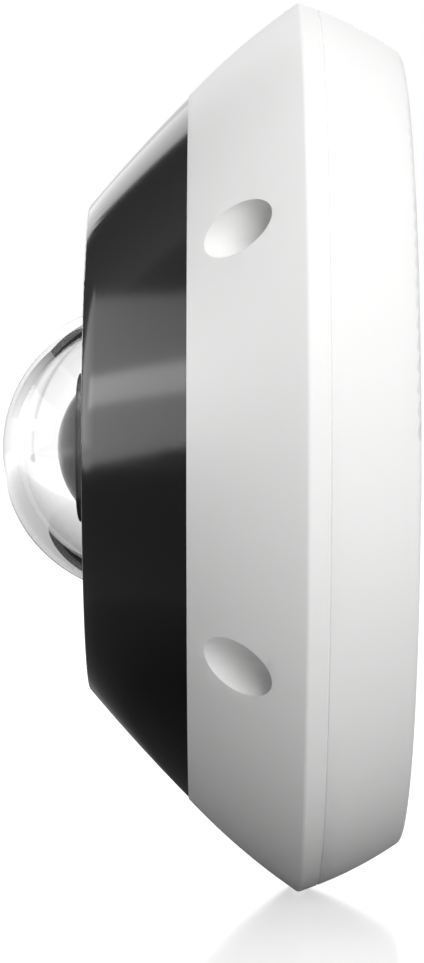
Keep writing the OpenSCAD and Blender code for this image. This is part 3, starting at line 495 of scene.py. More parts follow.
def polygon(corner_radius: float, sides: int) -> Callable[[float], float]:
    """The radius of a regular polygon at an angle, with a corner at angle 0."""

    def radius(angle: float) -> float:
        """The radius at one angle."""
        part = (angle + 1e-9) % (2 * math.pi / sides) - math.pi / sides
        return corner_radius * math.cos(math.pi / sides) / math.cos(part)

    return radius


def knurl(radius: float, depth: float, count: int) -> Callable[[float], float]:
    """The radius of a ring with shallow ridges all round."""
    return lambda angle: radius - depth * (0.5 - 0.5 * math.cos(count * angle)) ** 2


def helix(radius: float, low: float, high: float, pitch: float, steps: int = 20) -> list[Vector]:
    """Points along a coil about the upright axis.

    Args:
        radius: the coil's radius, in millimetres.
        low: its lower end.
        high: its upper end.
        pitch: rise in one turn.
        steps: points in one turn.

    Returns:
        The points from the lower end to the upper.
    """
    count = round((high - low) / pitch * steps)
    turn = [2 * math.pi * i / steps for i in range(count + 1)]
    return [
        Vector((radius * math.cos(a), radius * math.sin(a), low + (high - low) * i / count))
        for i, a in enumerate(turn)
    ]


class Draft:
    """A piece drawn in millimetres, with the wall below it and the dome upwards.

    The finished piece is turned to its place: heights run along -X and the drawing's x along +Z.
    """

    def __init__(self) -> None:
        """Starts an empty drawing."""
        self.mesh = bmesh.new()

    def skin(self, rings: list[list[Vector]], place: Matrix, closed: bool) -> "Draft":
        """Joins rings of points, one after the other, by faces.

        Args:
            rings: the rings, each with the same number of points.
            place: where the drawing's part goes.
            closed: whether the last ring joins the first.

        Returns:
            The drawing.
        """
        made = []
        for ring in rings:
            if all((p - ring[0]).length < 1e-7 for p in ring):
                made.append([self.mesh.verts.new(place @ ring[0])] * len(ring))
            else:
                made.append([self.mesh.verts.new(place @ p) for p in ring])
        pairs = zip(made, made[1:] + made[:1]) if closed else zip(made, made[1:])
        for first, second in pairs:
            for i in range(len(first)):
                j = (i + 1) % len(first)
                corners = list(dict.fromkeys((first[i], first[j], second[j], second[i])))
                if len(corners) > 2:
                    self.mesh.faces.new(corners)
        if not closed:
            for end in (made[0], made[-1]):
                if len(set(end)) > 2:
                    self.mesh.faces.new(end)
        return self

    def spin(self, outline: Profile, steps: int = 48, place: Matrix = Matrix()) -> "Draft":
        """Spins a closed outline about the upright axis of a place.

        Args:
            outline: radius and height of each point, in order round the outline. A radius may
                be a function of the angle.
            steps: number of stretches round the axis.
            place: where the axis stands.

        Returns:
            The drawing.
        """
        turn = all_round(steps)
        rings = []
        for radius, height in outline:
            reach = [radius(a) if callable(radius) else radius for a in turn]
            rings.append(
                [Vector((r * math.cos(a), r * math.sin(a), height)) for a, r in zip(turn, reach)]
            )
        return self.skin(rings, place, closed=True)

    def prism(
        self, outline: Outline, low: float, high: float, place: Matrix = Matrix()
    ) -> "Draft":
        """An upright prism over an outline in x and y, between two heights."""
        rings = [[Vector((x, y, height)) for x, y in outline] for height in (low, high)]
        return self.skin(rings, place, closed=False)

    def block(self, size: Sequence[float], low: float = 0.0, place: Matrix = Matrix()) -> "Draft":
        """A block that stands on a height, centred on the place."""
        x, y = size[0] / 2, size[1] / 2
        return self.prism([(-x, -y), (x, -y), (x, y), (-x, y)], low, low + size[2], place)

    def rod(
        self, path: Sequence[Vector], radius: float, sides: int = 8, place: Matrix = Matrix()
    ) -> "Draft":
        """A round rod along a path.

        Args:
            path: the points along its middle.
            radius: its radius.
            sides: number of flats round it.
            place: where the path starts from.

        Returns:
            The drawing.
        """
        side = (path[1] - path[0]).orthogonal().normalized()
        rings = []
        for i, point in enumerate(path):
            way = (path[min(i + 1, len(path) - 1)] - path[max(i - 1, 0)]).normalized()
            side = (side - way * side.dot(way)).normalized()
            other = way.cross(side)
            spokes = [side * math.cos(a) + other * math.sin(a) for a in all_round(sides)]
            rings.append([point + radius * spoke for spoke in spokes])
        return self.skin(rings, place, closed=False)

    def piece(self, name: str, edge: float = 0.0) -> Piece:
        """The finished piece, in its place on the wall.

        Args:
            name: name of the new piece.
            edge: width of the rounding on its sharp edges, in millimetres.

        Returns:
            The piece.
        """
        bmesh.ops.recalc_face_normals(self.mesh, faces=self.mesh.faces)
        bmesh.ops.transform(self.mesh, matrix=HUNG, verts=self.mesh.verts)
        piece = new_piece(name, self.mesh)
        return rounded(piece, edge * MM, segments=2) if edge else piece


def new_piece(name: str, mesh: bmesh.types.BMesh) -> Piece:
    """Turns a finished mesh into a linked object, smooth except at sharp edges.

    Args:
        name: name of the new piece.
        mesh: its geometry, which is freed.

    Returns:
        The object, at the origin.
    """
    data = bpy.data.meshes.new(name)
    mesh.to_mesh(data)
    mesh.free()
    piece = bpy.data.objects.new(name, data)
    bpy.context.scene.collection.objects.link(piece)
    data.shade_smooth()
    data.set_sharp_from_angle(angle=math.radians(SHARP_ANGLE))
    return piece


def baked(piece: Piece) -> Piece:
    """Applies a piece's modifiers, so that it is a plain mesh at the origin.

    Args:
        piece: the piece, with its modifiers.

    Returns:
        The same object, with the evaluated mesh and no modifiers.
    """
    bpy.context.view_layer.update()
    evaluated = piece.evaluated_get(bpy.context.evaluated_depsgraph_get())
    data = bpy.data.meshes.new_from_object(evaluated)
    piece.modifiers.clear()
    piece.data = data
    return piece


def rounded(piece: Piece, width: float, segments: int) -> Piece:
    """Rounds a piece's sharp edges.

    Args:
        piece: the piece.
        width: width of the rounding, in metres.
        segments: faces across the rounding.

    Returns:
        The same object, as a plain mesh.
    """
    bevel = piece.modifiers.new("edge", "BEVEL")
    bevel.width = width
    bevel.segments = segments
    bevel.limit_method = "ANGLE"
    bevel.angle_limit = math.radians(ROUNDED_ANGLE)
    bevel.harden_normals = True
    return baked(piece)


def softened(node: str, width: float, segments: int = 3) -> Piece:
    """A copy of a CAD node with its sharp edges rounded.

    Args:
        node: the CAD node to copy.
        width: width of the rounding, in metres.
        segments: faces across the rounding.

    Returns:
        The copy, as a plain mesh.
    """
    mesh = bmesh.new()
    mesh.from_mesh(NODES[node].data)
    bmesh.ops.remove_doubles(mesh, verts=mesh.verts, dist=1e-6)
    bmesh.ops.dissolve_limit(
        mesh, angle_limit=math.radians(FLAT_ANGLE), verts=mesh.verts, edges=mesh.edges
    )
    return rounded(new_piece(f"{node}_soft", mesh), width, segments)


class SetOut(NodeGraph):
    """A Geometry Nodes group that sets out copies of a unit piece.

    The group ends by realizing the copies and giving them their material, and is baked into a
    plain mesh.
    """

    def __init__(self, name: str, material: Material) -> None:
        """Starts the group called name, for one material."""
        super().__init__(bpy.data.node_groups.new(name, "GeometryNodeTree"))
        for way in ("OUTPUT", "INPUT"):
            self.tree.interface.new_socket(
                "Geometry", in_out=way, socket_type="NodeSocketGeometry"
            )
        self.material = material
        self.values: dict[str, object] = {}
        self.entry = self.node("NodeGroupInput")

    def given(self, name: str, kind: str, value: object) -> Socket:
        """A named input of the group, with the value that it will be given.

        Args:
            name: the input's name.
            kind: its socket type, without the leading NodeSocket.
            value: its value.

        Returns:
            The input as a source inside the group.
        """
        socket = self.tree.interface.new_socket(
            name, in_out="INPUT", socket_type=f"NodeSocket{kind}"
        )
        self.values[socket.identifier] = value
        return next(s for s in self.entry.outputs if s.identifier == socket.identifier)

    def bake(self, piece: Piece, unit: Piece, points: Socket, rotation: Socket) -> Piece:
        """Puts the unit on every point and turns the result into a plain mesh.

        Args:
            piece: the object that carries the group.
            unit: the unit piece, which is removed.
            points: the points.
            rotation: turn of each copy.

        Returns:
            The piece, as a plain mesh.
        """
        source = self.node("GeometryNodeObjectInfo")
        self.link(self.given("Unit", "Object", unit), source.inputs["Object"])
        copies = self.node("GeometryNodeInstanceOnPoints")
        self.link(points, copies.inputs["Points"])
        self.link(source.outputs["Geometry"], copies.inputs["Instance"])
        self.link(rotation, copies.inputs["Rotation"])
        real = self.node("GeometryNodeRealizeInstances")
        self.link(copies.outputs["Instances"], real.inputs["Geometry"])
        painted = self.node("GeometryNodeSetMaterial")
        painted.inputs["Material"].default_value = self.material
        self.link(real.outputs["Geometry"], painted.inputs["Geometry"])
        end = self.node("NodeGroupOutput")
        self.link(painted.outputs["Geometry"], end.inputs[0])
        modifier = piece.modifiers.new("set_out", "NODES")
        modifier.node_group = self.tree
        for identifier, value in self.values.items():
            modifier[identifier] = value
        baked(piece)
        bpy.data.objects.remove(unit)
        return piece


@dataclass(frozen=True)
class Ring:
    """Even places round the housing's axis, or in a row when the turn is 0.

    Attributes:
        count: number of places.
        radius: distance from the axis, in millimetres.
        first: angle of the first place, in degrees from the drawing's x.
        turn: angle from each place to the next.
        step: way from each place to the next, in the drawing's millimetres.
    """

    count: int
    radius: float
    first: float = 0.0
    turn: float | None = None
    step: Triple = (0.0, 0.0, 0.0)

    def copies(self, name: str, unit: Piece, material: Material) -> Piece:
        """Sets out copies of a unit that is drawn on the axis.

        Args:
            name: name of the new piece.
            unit: the unit, which is used up.
            material: the copies' material.

        Returns:
            The copies as one plain mesh.
        """
        group = SetOut(name, material)
        turn = 360.0 / self.count if self.turn is None else self.turn
        count = group.given("Count", "Int", self.count)
        radius = group.given("Radius", "Float", self.radius * MM)
        first = group.given("First angle", "Float", math.radians(self.first))
        each = group.given("Turn", "Float", math.radians(turn))
        step = group.given("Step", "Vector", tuple(HUNG @ Vector(self.step)))
        index = group.node("GeometryNodeInputIndex").outputs[0]
        angle = group.math("ADD", first, group.math("MULTIPLY", index, each))
        place = group.node("ShaderNodeCombineXYZ")
        for axis, operation in (("Y", "SINE"), ("Z", "COSINE")):
            part = group.math("MULTIPLY", radius, group.math(operation, angle))
            group.link(part, place.inputs[axis])
        along = group.node("ShaderNodeVectorMath", operation="MULTIPLY_ADD")
        group.link(step, along.inputs[0])
        group.link(index, along.inputs[1])
        group.link(place.outputs[0], along.inputs[2])
        points = group.node("GeometryNodePoints")
        group.link(count, points.inputs["Count"])
        group.link(along.outputs[0], points.inputs["Position"])
        rotation = group.node("ShaderNodeCombineXYZ")
        group.link(group.math("MULTIPLY", angle, -1.0), rotation.inputs["X"])
        carrier = new_piece(name, bmesh.new())
        return group.bake(carrier, unit, points.outputs[0], rotation.outputs[0])


def row(count: int, x: float = 0.0, y: float = 0.0) -> Ring:
    """Places in a straight row, with a way from each to the next in millimetres."""
    return Ring(count, 0.0, turn=0.0, step=(x, y, 0.0))


@dataclass(frozen=True)
class Strewn:
    """Small parts strewn over free patches of a board, the same way each time.

    Attributes:
        patches: lowest and highest x and y of each patch, in millimetres.
        height: the board's face.
        gap: least distance between parts.
        seed: number that fixes the order.
        density: parts per square metre before the gap thins them out.
        faces_up: whether the parts stand on the board or hang below it.
    """

    patches: Patches
    height: float
    gap: float
    seed: int
    density: float = 60000.0
    faces_up: bool = True

    def copies(self, name: str, unit: Piece, material: Material) -> Piece:
        """Strews copies of a unit that is drawn on the axis at height 0.

        Args:
            name: name of the new piece.
            unit: the unit, which is used up.
            material: the copies' material.

        Returns:
            The copies as one plain mesh.
        """
        mesh = bmesh.new()
        for low_x, low_y, high_x, high_y in self.patches:
            corners = [(low_x, low_y), (high_x, low_y), (high_x, high_y), (low_x, high_y)]
            mesh.faces.new([mesh.verts.new(HUNG @ Vector((*c, self.height))) for c in corners])
        carrier = new_piece(name, mesh)
        group = SetOut(name, material)
        seed = group.given("Seed", "Int", self.seed)
        spread = group.node("GeometryNodeDistributePointsOnFaces", distribute_method="POISSON")
        group.link(group.entry.outputs["Geometry"], spread.inputs["Mesh"])
        gap = group.given("Least distance", "Float", self.gap * MM)
        group.link(gap, spread.inputs["Distance Min"])
        group.link(group.given("Density", "Float", self.density), spread.inputs["Density Max"])
        group.link(seed, spread.inputs["Seed"])
        quarter = group.node("FunctionNodeRandomValue", data_type="INT")
        for socket in quarter.inputs:
            if socket.type == "INT" and socket.name in ("Min", "Max"):
                socket.default_value = int(socket.name == "Max")
        group.link(seed, quarter.inputs["Seed"])
        turn = group.node("ShaderNodeCombineXYZ")
        right = group.given("Quarter turn", "Float", math.pi / 2)
        whole = next(o for o in quarter.outputs if o.type == "INT")
        group.link(group.math("MULTIPLY", whole, right), turn.inputs["X"])
        if not self.faces_up:
            turn.inputs["Z"].default_value = math.pi
        return group.bake(carrier, unit, spread.outputs["Points"], turn.outputs[0])


class Rays(Enum):
    """The kind of ray that a card shows in: mirrored by a surface, or bent by the dome."""

    MIRRORED = "glossy"
    BENT = "transmission"


class FadeAxis(Enum):
    """What a card's fade runs along."""

    X = "X"
    Z = "Z"
    RADIUS = "radius"


@dataclass(frozen=True)
class Fade:
    """A change of brightness across a card, which ends at the card's own glow.

    Attributes:
        start: where it starts, in metres.
        end: where it ends.
        level: the brightness that it starts from.
        axis: what it runs along.
    """

    start: float
    end: float
    level: float
    axis: FadeAxis = FadeAxis.Z


def pane(x: Sequence[float], y: Sequence[float], z: Sequence[float]) -> list[Triple]:
    """The corners of a rectangle in one of the main planes.

    Args:
        x: where it starts and ends along x, or the one x that it lies at.
        y: the same along y.
        z: the same along z.

    Returns:
        The corners, in order round it.
    """
    spans = (x, y, z)
    first, second = (axis for axis in range(3) if len(spans[axis]) == 2)
    corners = []
    for i, j in ((0, 0), (1, 0), (1, 1), (0, 1)):
        corner = [span[0] for span in spans]
        corner[first], corner[second] = spans[first][i], spans[second][j]
        corners.append(tuple(corner))
    return corners


def disc(radius: float, height: float) -> list[Triple]:
    """The corners of a level disc round the origin."""
    return [(x, y, height) for x, y in arc((0.0, 0.0), radius, 0, 350, 35)]


@dataclass(frozen=True)
class Card:
    """A flat glowing card that lights nothing and shows in one kind of ray only, and only from the
    object's side: a painted reflection, and a painted shade where it is dark.

    Attributes:
        name: the card's name.
        glow: its brightness, where 1 is white.
        corners: its corners, in metres.
        rays: the kind of ray that it shows in.
        fade: how its brightness changes, or None.
        reach: how far the object reaches from the origin. Mirrored rays from further out, such
            as the floor's, pass through the card.
    """

    name: str
    glow: float
    corners: Sequence[Triple]
    rays: Rays = Rays.MIRRORED
    fade: Fade | None = None
    reach: float = 0.08

    def build(self) -> None:
        """Makes the card and puts it on the stage."""
        mesh = bmesh.new()
        mesh.faces.new([mesh.verts.new(corner) for corner in self.corners])
        card = new_piece(self.name, mesh)
        sketch = NodeSketch(self.name)
        glow = self.faded(sketch, self.fade) if self.fade else self.glow
        hidden = sketch.node("ShaderNodeNewGeometry").outputs["Backfacing"]
        face = card.data.polygons[0]
        if face.normal.dot(face.center) > 0:
            hidden = sketch.math("LESS_THAN", hidden, 0.5)
        if self.rays is Rays.MIRRORED:
            path = sketch.node("ShaderNodeLightPath")
            hidden = sketch.maximum(hidden, path.outputs["Transmission Depth"])
            hidden = sketch.maximum(hidden, self.from_elsewhere(sketch, path))
        shine = sketch.white("ShaderNodeEmission", glow)
        clear = sketch.node("ShaderNodeBsdfTransparent")
        card.data.materials.append(sketch.finish(sketch.mixed(hidden, shine, clear)))
        for ray in ("camera", "diffuse", "glossy", "transmission", "volume_scatter", "shadow"):
            setattr(card, f"visible_{ray}", ray == self.rays.value)

    def faded(self, sketch: NodeSketch, fade: Fade) -> Socket:
        """The brightness where it changes across the card.

        Args:
            sketch: the card's material.
            fade: how it changes.

        Returns:
            The brightness.
        """
        place = sketch.node("ShaderNodeTexCoord").outputs["Object"]
        if fade.axis is FadeAxis.RADIUS:
            measure = sketch.length(place)
        else:
            split = sketch.node("ShaderNodeSeparateXYZ")
            sketch.link(place, split.inputs[0])
            measure = split.outputs[fade.axis.value]
        level = sketch.range(measure, fade.level, self.glow)
        level.node.inputs["From Min"].default_value = fade.start
        level.node.inputs["From Max"].default_value = fade.end
        return level

    def from_elsewhere(self, sketch: NodeSketch, path: Node) -> Socket:
        """1 for rays that reach the card from further out than the object."""
        away = sketch.length(sketch.node("ShaderNodeTexCoord").outputs["Object"])
        off = sketch.math("SUBTRACT", away, path.outputs["Ray Length"])
        return sketch.math("GREATER_THAN", sketch.math("ABSOLUTE", off), self.reach)


@dataclass
class Studio:
    """The floor, the world, the lamps, the cards of painted reflection and painted shade, and the
    camera.

    Attributes:
        floor_size: side of the floor, in metres.
        floor_color: its colour, linear RGB.
        floor_roughness: blur of the reflections in it.
        floor_lift: glow that it adds where it is seen directly or mirrored.
        ambient: strength of the world's light on the object.
        bent_level: brightness of the background through the dome.
        lamp_side: side of each lamp.
        front: x of the painted wall, a card, that the dome looks at.
        near: y of the painted wall, a card, behind the camera.
        far: y of the painted wall, a card, behind the object.
        foot: height that the painted walls start at.
        roof: height that they end at.
        ceiling: height of the painted ceiling, a dark card, that the dome bends into view.
        shade_radius: radius of the painted shadow discs under the object.
    """

    floor_size: float = 8.0
    floor_color: Triple = (0.44, 0.44, 0.44)
    floor_roughness: float = 0.12
    floor_lift: float = 0.57
    ambient: float = 0.33
    bent_level: float = 1.12
    lamp_side: float = 0.7
    front: float = -1.4
    near: float = -1.3
    far: float = 0.55
    foot: float = -0.07
    roof: float = 1.2
    ceiling: float = 0.44
    shade_radius: float = 0.155

    def build(self) -> None:
        """Sets the whole stage."""
        bpy.context.scene.view_settings.view_transform = "Standard"
        self.camera()
        self.world()
        self.floor()
        self.lamp("key", (0.37, -1.07, 0.39), 9.4)
        self.lamp("top", (-0.1, -0.3, 1.14), 5.0)
        for card in (*self.mirrored_room(), *self.bent_room()):
            card.build()

    def mirrored_room(self) -> list[Card]:
        """The cards that the glossy surfaces mirror, as painted reflections: a bright card for
        painted highlights, dark and grey cards for walls, roof and floor, and a painted shadow
        under the object.
        """
        walls, rim, high = (self.foot, self.roof), -0.36, 1.3
        ground_height, shade_height = -0.0766, -0.0764
        # The bright card and its core are painted highlights: glowing sheets, seen only in
        # mirrors, that light nothing.
        panel = [(-0.9, -0.2, 0.05), (-0.9, 0.2, -0.075), (-0.9, 0.75, 0.1), (-0.9, 0.75, 0.5),
                 (-0.9, -0.2, 0.36)]
        core = [(-0.88, -0.15, 0.16), (-0.88, 0.3, 0.1), (-0.88, 0.3, 0.19), (-0.88, -0.15, 0.24)]
        ground = [(self.front, self.near), (-0.035, self.near), (-0.035, 0.1), (0.05, 1.5),
                  (self.front, 1.5)]
        return [
            Card("panel", 2.0, panel, fade=Fade(0.1, 0.45, 3.7)),
            Card("panel_core", 7.0, core),
            # The dark and grey cards are painted reflections of a room; the bright rim card paints
            # a highlight.
            Card("card_behind", 0.1, pane((self.front, rim), (self.far,), walls),
                 fade=Fade(self.front, -0.4, 0.65, FadeAxis.X)),
            Card("card_rim", 1.8, pane((rim, -0.15), (self.far,), walls)),
            Card("card_left", 0.42, pane((self.front,), (self.near, self.far), walls),
                 fade=Fade(0.1, 0.7, 0.2)),
            Card("card_front", 0.15, pane((self.front, 1.0), (self.near,), (self.foot, high))),
            Card("card_above", 0.2, pane((self.front, 0.2), (self.near, 0.3), (high,))),
            Card("card_low", 0.25, [(x, y, ground_height) for x, y in ground]),
            # A painted shadow under the object, darker towards its middle.
            Card("contact_shade", 0.2, disc(self.shade_radius, shade_height),
                 fade=Fade(0.12, 0.175, 0.05, FadeAxis.RADIUS)),
        ]

    def bent_room(self) -> list[Card]:
        """Painted views that the dome's rim bends into sight, in bent rays only: a dark ceiling
        card, a grey wall card, two bright strut cards, painted shadows on the floor and a dark
        card that paints the rim's outline.
        """
        bent, across = Rays.BENT, (0.0, 0.9)
        shadow_plate_height, floor_height = -0.0768, -0.07685
        strut_far, strut = (2.0,), (self.foot, 1.6)
        left, middle, right = -0.72, -0.63, -0.58
        return [
            # Painted views through the dome: a dark ceiling card, a grey wall card and, below,
            # bright strut cards.
            Card("ceiling", 0.012, pane((-0.5, 1.0), across, (self.ceiling,)), bent),
            Card("left_wall", 0.2, pane((-0.5,), across, (0.1, self.ceiling)), bent,
                 Fade(0.1, self.ceiling, 1.0)),
            # Painted shadows on the floor, seen through the dome: a dark plate, and a shade that
            # brightens outwards.
            Card("dark_plate", 0.012, disc(self.shade_radius, shadow_plate_height), bent),
            Card("floor_shade", 1.1, disc(0.9, floor_height), bent,
                 Fade(0.15, 0.9, 0.5, FadeAxis.RADIUS)),
            Card("strut_left", 0.72, pane((left, middle), strut_far, strut), bent,
                 Fade(left, middle, 1.12, FadeAxis.X)),
            Card("strut_right", 1.12, pane((middle, right), strut_far, strut), bent,
                 Fade(middle, right, 0.72, FadeAxis.X)),
            # A dark card that paints the dark outline at the dome's rim.
            Card("rim_shade", 0.012, pane((0.05, 0.5), (1.0,), (-0.4, 0.4)), bent),
        ]

    def camera(self) -> None:
        """Puts the camera where the photograph was taken from."""
        data = bpy.data.cameras.new("photo_camera")
        data.sensor_width = SENSOR_MM
        data.lens = SENSOR_MM * PHOTO_FOCAL_PX / PHOTO_HEIGHT_PX
        data.shift_y = (PHOTO_AXIS_ROW_PX - (PHOTO_HEIGHT_PX - 1) / 2) / PHOTO_HEIGHT_PX
        data.clip_start = 0.01
        camera = bpy.data.objects.new("photo_camera", data)
        camera.location = (-EYE_FORWARD, -EYE_DISTANCE, 0.0)
        camera.rotation_euler = (math.pi / 2, 0.0, 0.0)
        bpy.context.scene.collection.objects.link(camera)
        bpy.context.scene.camera = camera

    def world(self) -> None:
        """A white background that lights the object as a grey one would."""
        world = bpy.data.worlds.new("white_room")
        bpy.context.scene.world = world
        sketch = NodeSketch(world.name, world)
        path = sketch.node("ShaderNodeLightPath")
        level = sketch.range(path.outputs["Is Transmission Ray"], 1.0, self.bent_level)
        shown = sketch.white("ShaderNodeBackground", level)
        light = sketch.white("ShaderNodeBackground", self.ambient)
        output = sketch.node("ShaderNodeOutputWorld")
        sketch.link(sketch.mixed(sketch.seen_directly(), light, shown), output.inputs["Surface"])

    def floor(self) -> None:
        """A pale glossy floor, level with the lowest point of the housing."""
        half = self.floor_size / 2
        mesh = bmesh.new()
        corners = pane((-half, half), (-half, half), (CAD_BOX[0][2],))
        mesh.faces.new([mesh.verts.new(corner) for corner in corners])
        floor = new_piece("floor", mesh)
        sketch = NodeSketch("pale_floor")
        plain = sketch.principled(metallic=0.0, coat=0.0, ior=1.4, specular=0.5)
        plain.inputs["Base Color"].default_value = (*self.floor_color, 1.0)
        plain.inputs["Roughness"].default_value = self.floor_roughness
        lift = sketch.math("MULTIPLY", sketch.seen_directly(), self.floor_lift)
        both = sketch.node("ShaderNodeAddShader")
        sketch.link(plain.outputs[0], both.inputs[0])
        sketch.link(sketch.white("ShaderNodeEmission", lift).outputs[0], both.inputs[1])
        floor.data.materials.append(sketch.finish(both.outputs[0]))

    def lamp(self, name: str, place: Triple, power: float) -> None:
        """A soft lamp that lights the object and doesn't show in glossy surfaces.

        Args:
            name: the lamp's name.
            place: its middle, in metres.
            power: watts.
        """
        data = bpy.data.lights.new(name, "AREA")
        data.shape = "RECTANGLE"
        data.size = data.size_y = self.lamp_side
        data.energy = power
        lamp = bpy.data.objects.new(name, data)
        lamp.location = place
        lamp.rotation_euler = Vector(place).to_track_quat("Z", "Y").to_euler()
        lamp.visible_glossy = False
        bpy.context.scene.collection.objects.link(lamp)


FINISHES: dict[str, Finish | Glass | BoardFinish] = {
    finish.name: finish
    for finish in (
        Finish("white_paint", (0.86, 0.86, 0.855), 0.42, scale=2600, depth=6e-6, variation=0.008),
        Finish("black_gloss", (0.006, 0.006, 0.0062), 0.12, scale=900, depth=1e-6,
               variation=0.05, texture=Texture.POLISHED, specular=0.3),
        Finish("grey_foam", (0.13, 0.13, 0.135), 0.95, scale=2400, depth=2e-4,
               texture=Texture.CAST, variation=0.2),
        Finish("black_rubber", (0.022, 0.022, 0.023), 0.62, scale=1800, depth=2e-5),
        Finish("blue_pad", (0.28, 0.4, 0.55), 0.7, scale=1800, depth=4e-5),
        BoardFinish("green_board", (0.012, 0.075, 0.03), (0.025, 0.14, 0.05)),
        Finish("chip_black", (0.028, 0.028, 0.03), 0.55, scale=3000, depth=2e-5),
        Finish("yellow_tape", (0.62, 0.47, 0.06), 0.3, scale=500, depth=2e-5,
               texture=Texture.POLISHED),
        Finish("can_aluminium", (0.78, 0.78, 0.8), 0.3, 1.0, scale=2400, depth=3e-6,
               stretch=(1, 1, 12)),
        Finish("tin_shell", (0.72, 0.72, 0.7), 0.28, 1.0, scale=2400, depth=3e-6,
               stretch=(10, 1, 1)),
        Finish("gold_contact", (0.83, 0.6, 0.22), 0.2, 1.0, scale=900, texture=Texture.POLISHED,
               depth=3e-6),
        Finish("dark_plastic", (0.022, 0.022, 0.024), 0.5, scale=2200, depth=2e-5),
        Finish("red_plastic", (0.5, 0.025, 0.02), 0.4, scale=1200, depth=8e-6),
        Finish("green_plastic", (0.03, 0.26, 0.1), 0.42, scale=1500, depth=1e-5),
        Finish("ivory_plastic", (0.72, 0.68, 0.55), 0.45, scale=1500, depth=1e-5),
        Finish("amber_ribbon", (0.6, 0.25, 0.03), 0.3, scale=400, depth=8e-6,
               texture=Texture.POLISHED),
        Finish("standoff_brass", (0.76, 0.56, 0.27), 0.26, 1.0, scale=1300,
               stretch=(10, 1, 1), depth=6e-6),
        Finish("chassis_steel", (0.62, 0.63, 0.65), 0.36, 1.0, scale=1500,
               stretch=(1, 1, 16), depth=8e-6),
        Finish("screw_steel", (0.52, 0.52, 0.52), 0.3, 1.0, scale=1500, texture=Texture.POLISHED,
               depth=4e-6),
        Finish("sensor_glass", (0.05, 0.075, 0.11), 0.12, scale=500, texture=Texture.POLISHED,
               coat=1.0, depth=1e-6),
        Glass("filter_glass", (0.7, 0.92, 0.94), roughness=0.01),
        Finish("magnet_grey", (0.4, 0.4, 0.42), 0.36, 0.9, scale=1800, depth=1e-5),
        Finish("coil_copper", (0.78, 0.33, 0.14), 0.24, 1.0, scale=900, texture=Texture.POLISHED,
               coat=0.6, depth=4e-6),
        Finish("black_metal", (0.05, 0.05, 0.052), 0.3, 0.0, scale=2200, depth=4e-6),
        # The lens glass's opaque dark share is partly a coating and partly painted shade for its
        # dark inside.
        Glass("lens_glass", (0.42, 0.46, 0.5), 1.5, body=0.96, coating_and_shade_color=(0.006, 0.006, 0.007)),
        Finish("lamp_body", (0.74, 0.72, 0.66), 0.35, scale=900, depth=6e-6),
        Glass("clear_dome", (1.0, 1.0, 1.0), 1.49),
    )
}


class Palette:
    """Every finish, built once, by material slot."""

    def __init__(self) -> None:
        """Builds the materials."""
        self.materials = {slot: finish.build() for slot, finish in FINISHES.items()}
        parts = frame["record"]["subparts"]
        self.slot_of = {part["node"]: part["material_slot"] for part in parts}
        self.body_of = {
            node: body
            for body, nodes in frame["record"]["behaviour"]["bodies"].items()
            for node in nodes
        }

    def paint_nodes(self) -> None:
        """Gives every CAD node its finish."""
        for node, slot in self.slot_of.items():
            data = NODES[node].data
            data.materials.clear()
            data.materials.append(self.materials[slot])

    def dress(self, piece: Piece, slot: str, body: str = "root", stands_for: str = "") -> Piece:
        """Gives a piece its finish, its body and the node that it stands for.

        Args:
            piece: the finished piece.
            slot: its material slot.
            body: the CAD body that it moves with.
            stands_for: the CAD node that it replaces, if any.

        Returns:
            The piece.
        """
        piece.data.materials.clear()
        piece.data.materials.append(self.materials[slot])
        if stands_for:
            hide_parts(stands_for)
        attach(piece, body)
        LOG.info("%s: %d faces, rides on %s", piece.name, len(piece.data.polygons), body)
        return piece

    def turned(self, name: str, outline: Profile, steps: int, node: str) -> Piece:
        """Spins an outline about the housing's axis into a piece that replaces a CAD node."""
        return self.stand_in(Draft().spin(outline, steps).piece(name), node)

    def stand_in(self, piece: Piece, node: str) -> Piece:
        """Dresses a piece that replaces a CAD node in the node's own finish, on its own body."""
        return self.dress(piece, self.slot_of[node], self.body_of[node], node)

    def set_out(
        self,
        name: str,
        unit: Piece,
        places: Ring | Strewn,
        node: str = "",
        slot: str = "",
        body: str = "root",
    ) -> Piece:
        """Sets out copies of a unit and dresses them as one piece.

        Args:
            name: name of the new piece.
            unit: the unit, which is used up.
            places: where the copies go.
            node: the CAD node that they replace, which also gives their slot and body.
            slot: their material slot, when they replace no node.
            body: the body that they move with, when they replace no node.

        Returns:
            The piece.
        """
        slot = self.slot_of[node] if node else slot
        body = self.body_of[node] if node else body
        piece = places.copies(name, unit, self.materials[slot])
        return self.dress(piece, slot, body, node)

    def small_parts(
        self, name: str, places: Ring | Strewn, low: float = 0.0, slot: str = "chip_black"
    ) -> None:
        """Sets out small parts with tinned ends on a board.

        Args:
            name: name of the piece with their bodies.
            places: where they go.
            low: height that they are drawn at.
            slot: the bodies' material slot.
        """
        body_size, end_size, end_x, edge = (1.3, 0.95, 0.55), (0.32, 1.0, 0.6), 0.74, 0.05
        body = Draft().block(body_size, low).piece(f"{name}_unit", edge)
        ends = Draft()
        for x in (-end_x, end_x):
            ends.block(end_size, low, at(x))
        self.set_out(name, body, places, slot=slot)
        self.set_out(f"{name}_ends", ends.piece(f"{name}_end", edge), places, slot="tin_shell")

    def soften(self, node: str, width: float, segments: int = 3) -> Piece:
        """Replaces a CAD node by a copy with its edges rounded, by a width in millimetres."""
        return self.stand_in(softened(node, width * MM, segments), node)


def on_axis(outline: Outline) -> Outline:
    """The outline with its first and its last point moved onto the axis."""
    return [(0.0, outline[0][1]), *outline[1:-1], (0.0, outline[-1][1])]


def peg(radius: float, low: float, high: float, taper: float) -> Outline:
    """The outline of a round peg between two heights, tapered just above its lower end."""
    return [(0.0, low), (radius - taper, low), (radius, low + 0.15), (radius, high), (0.0, high)]


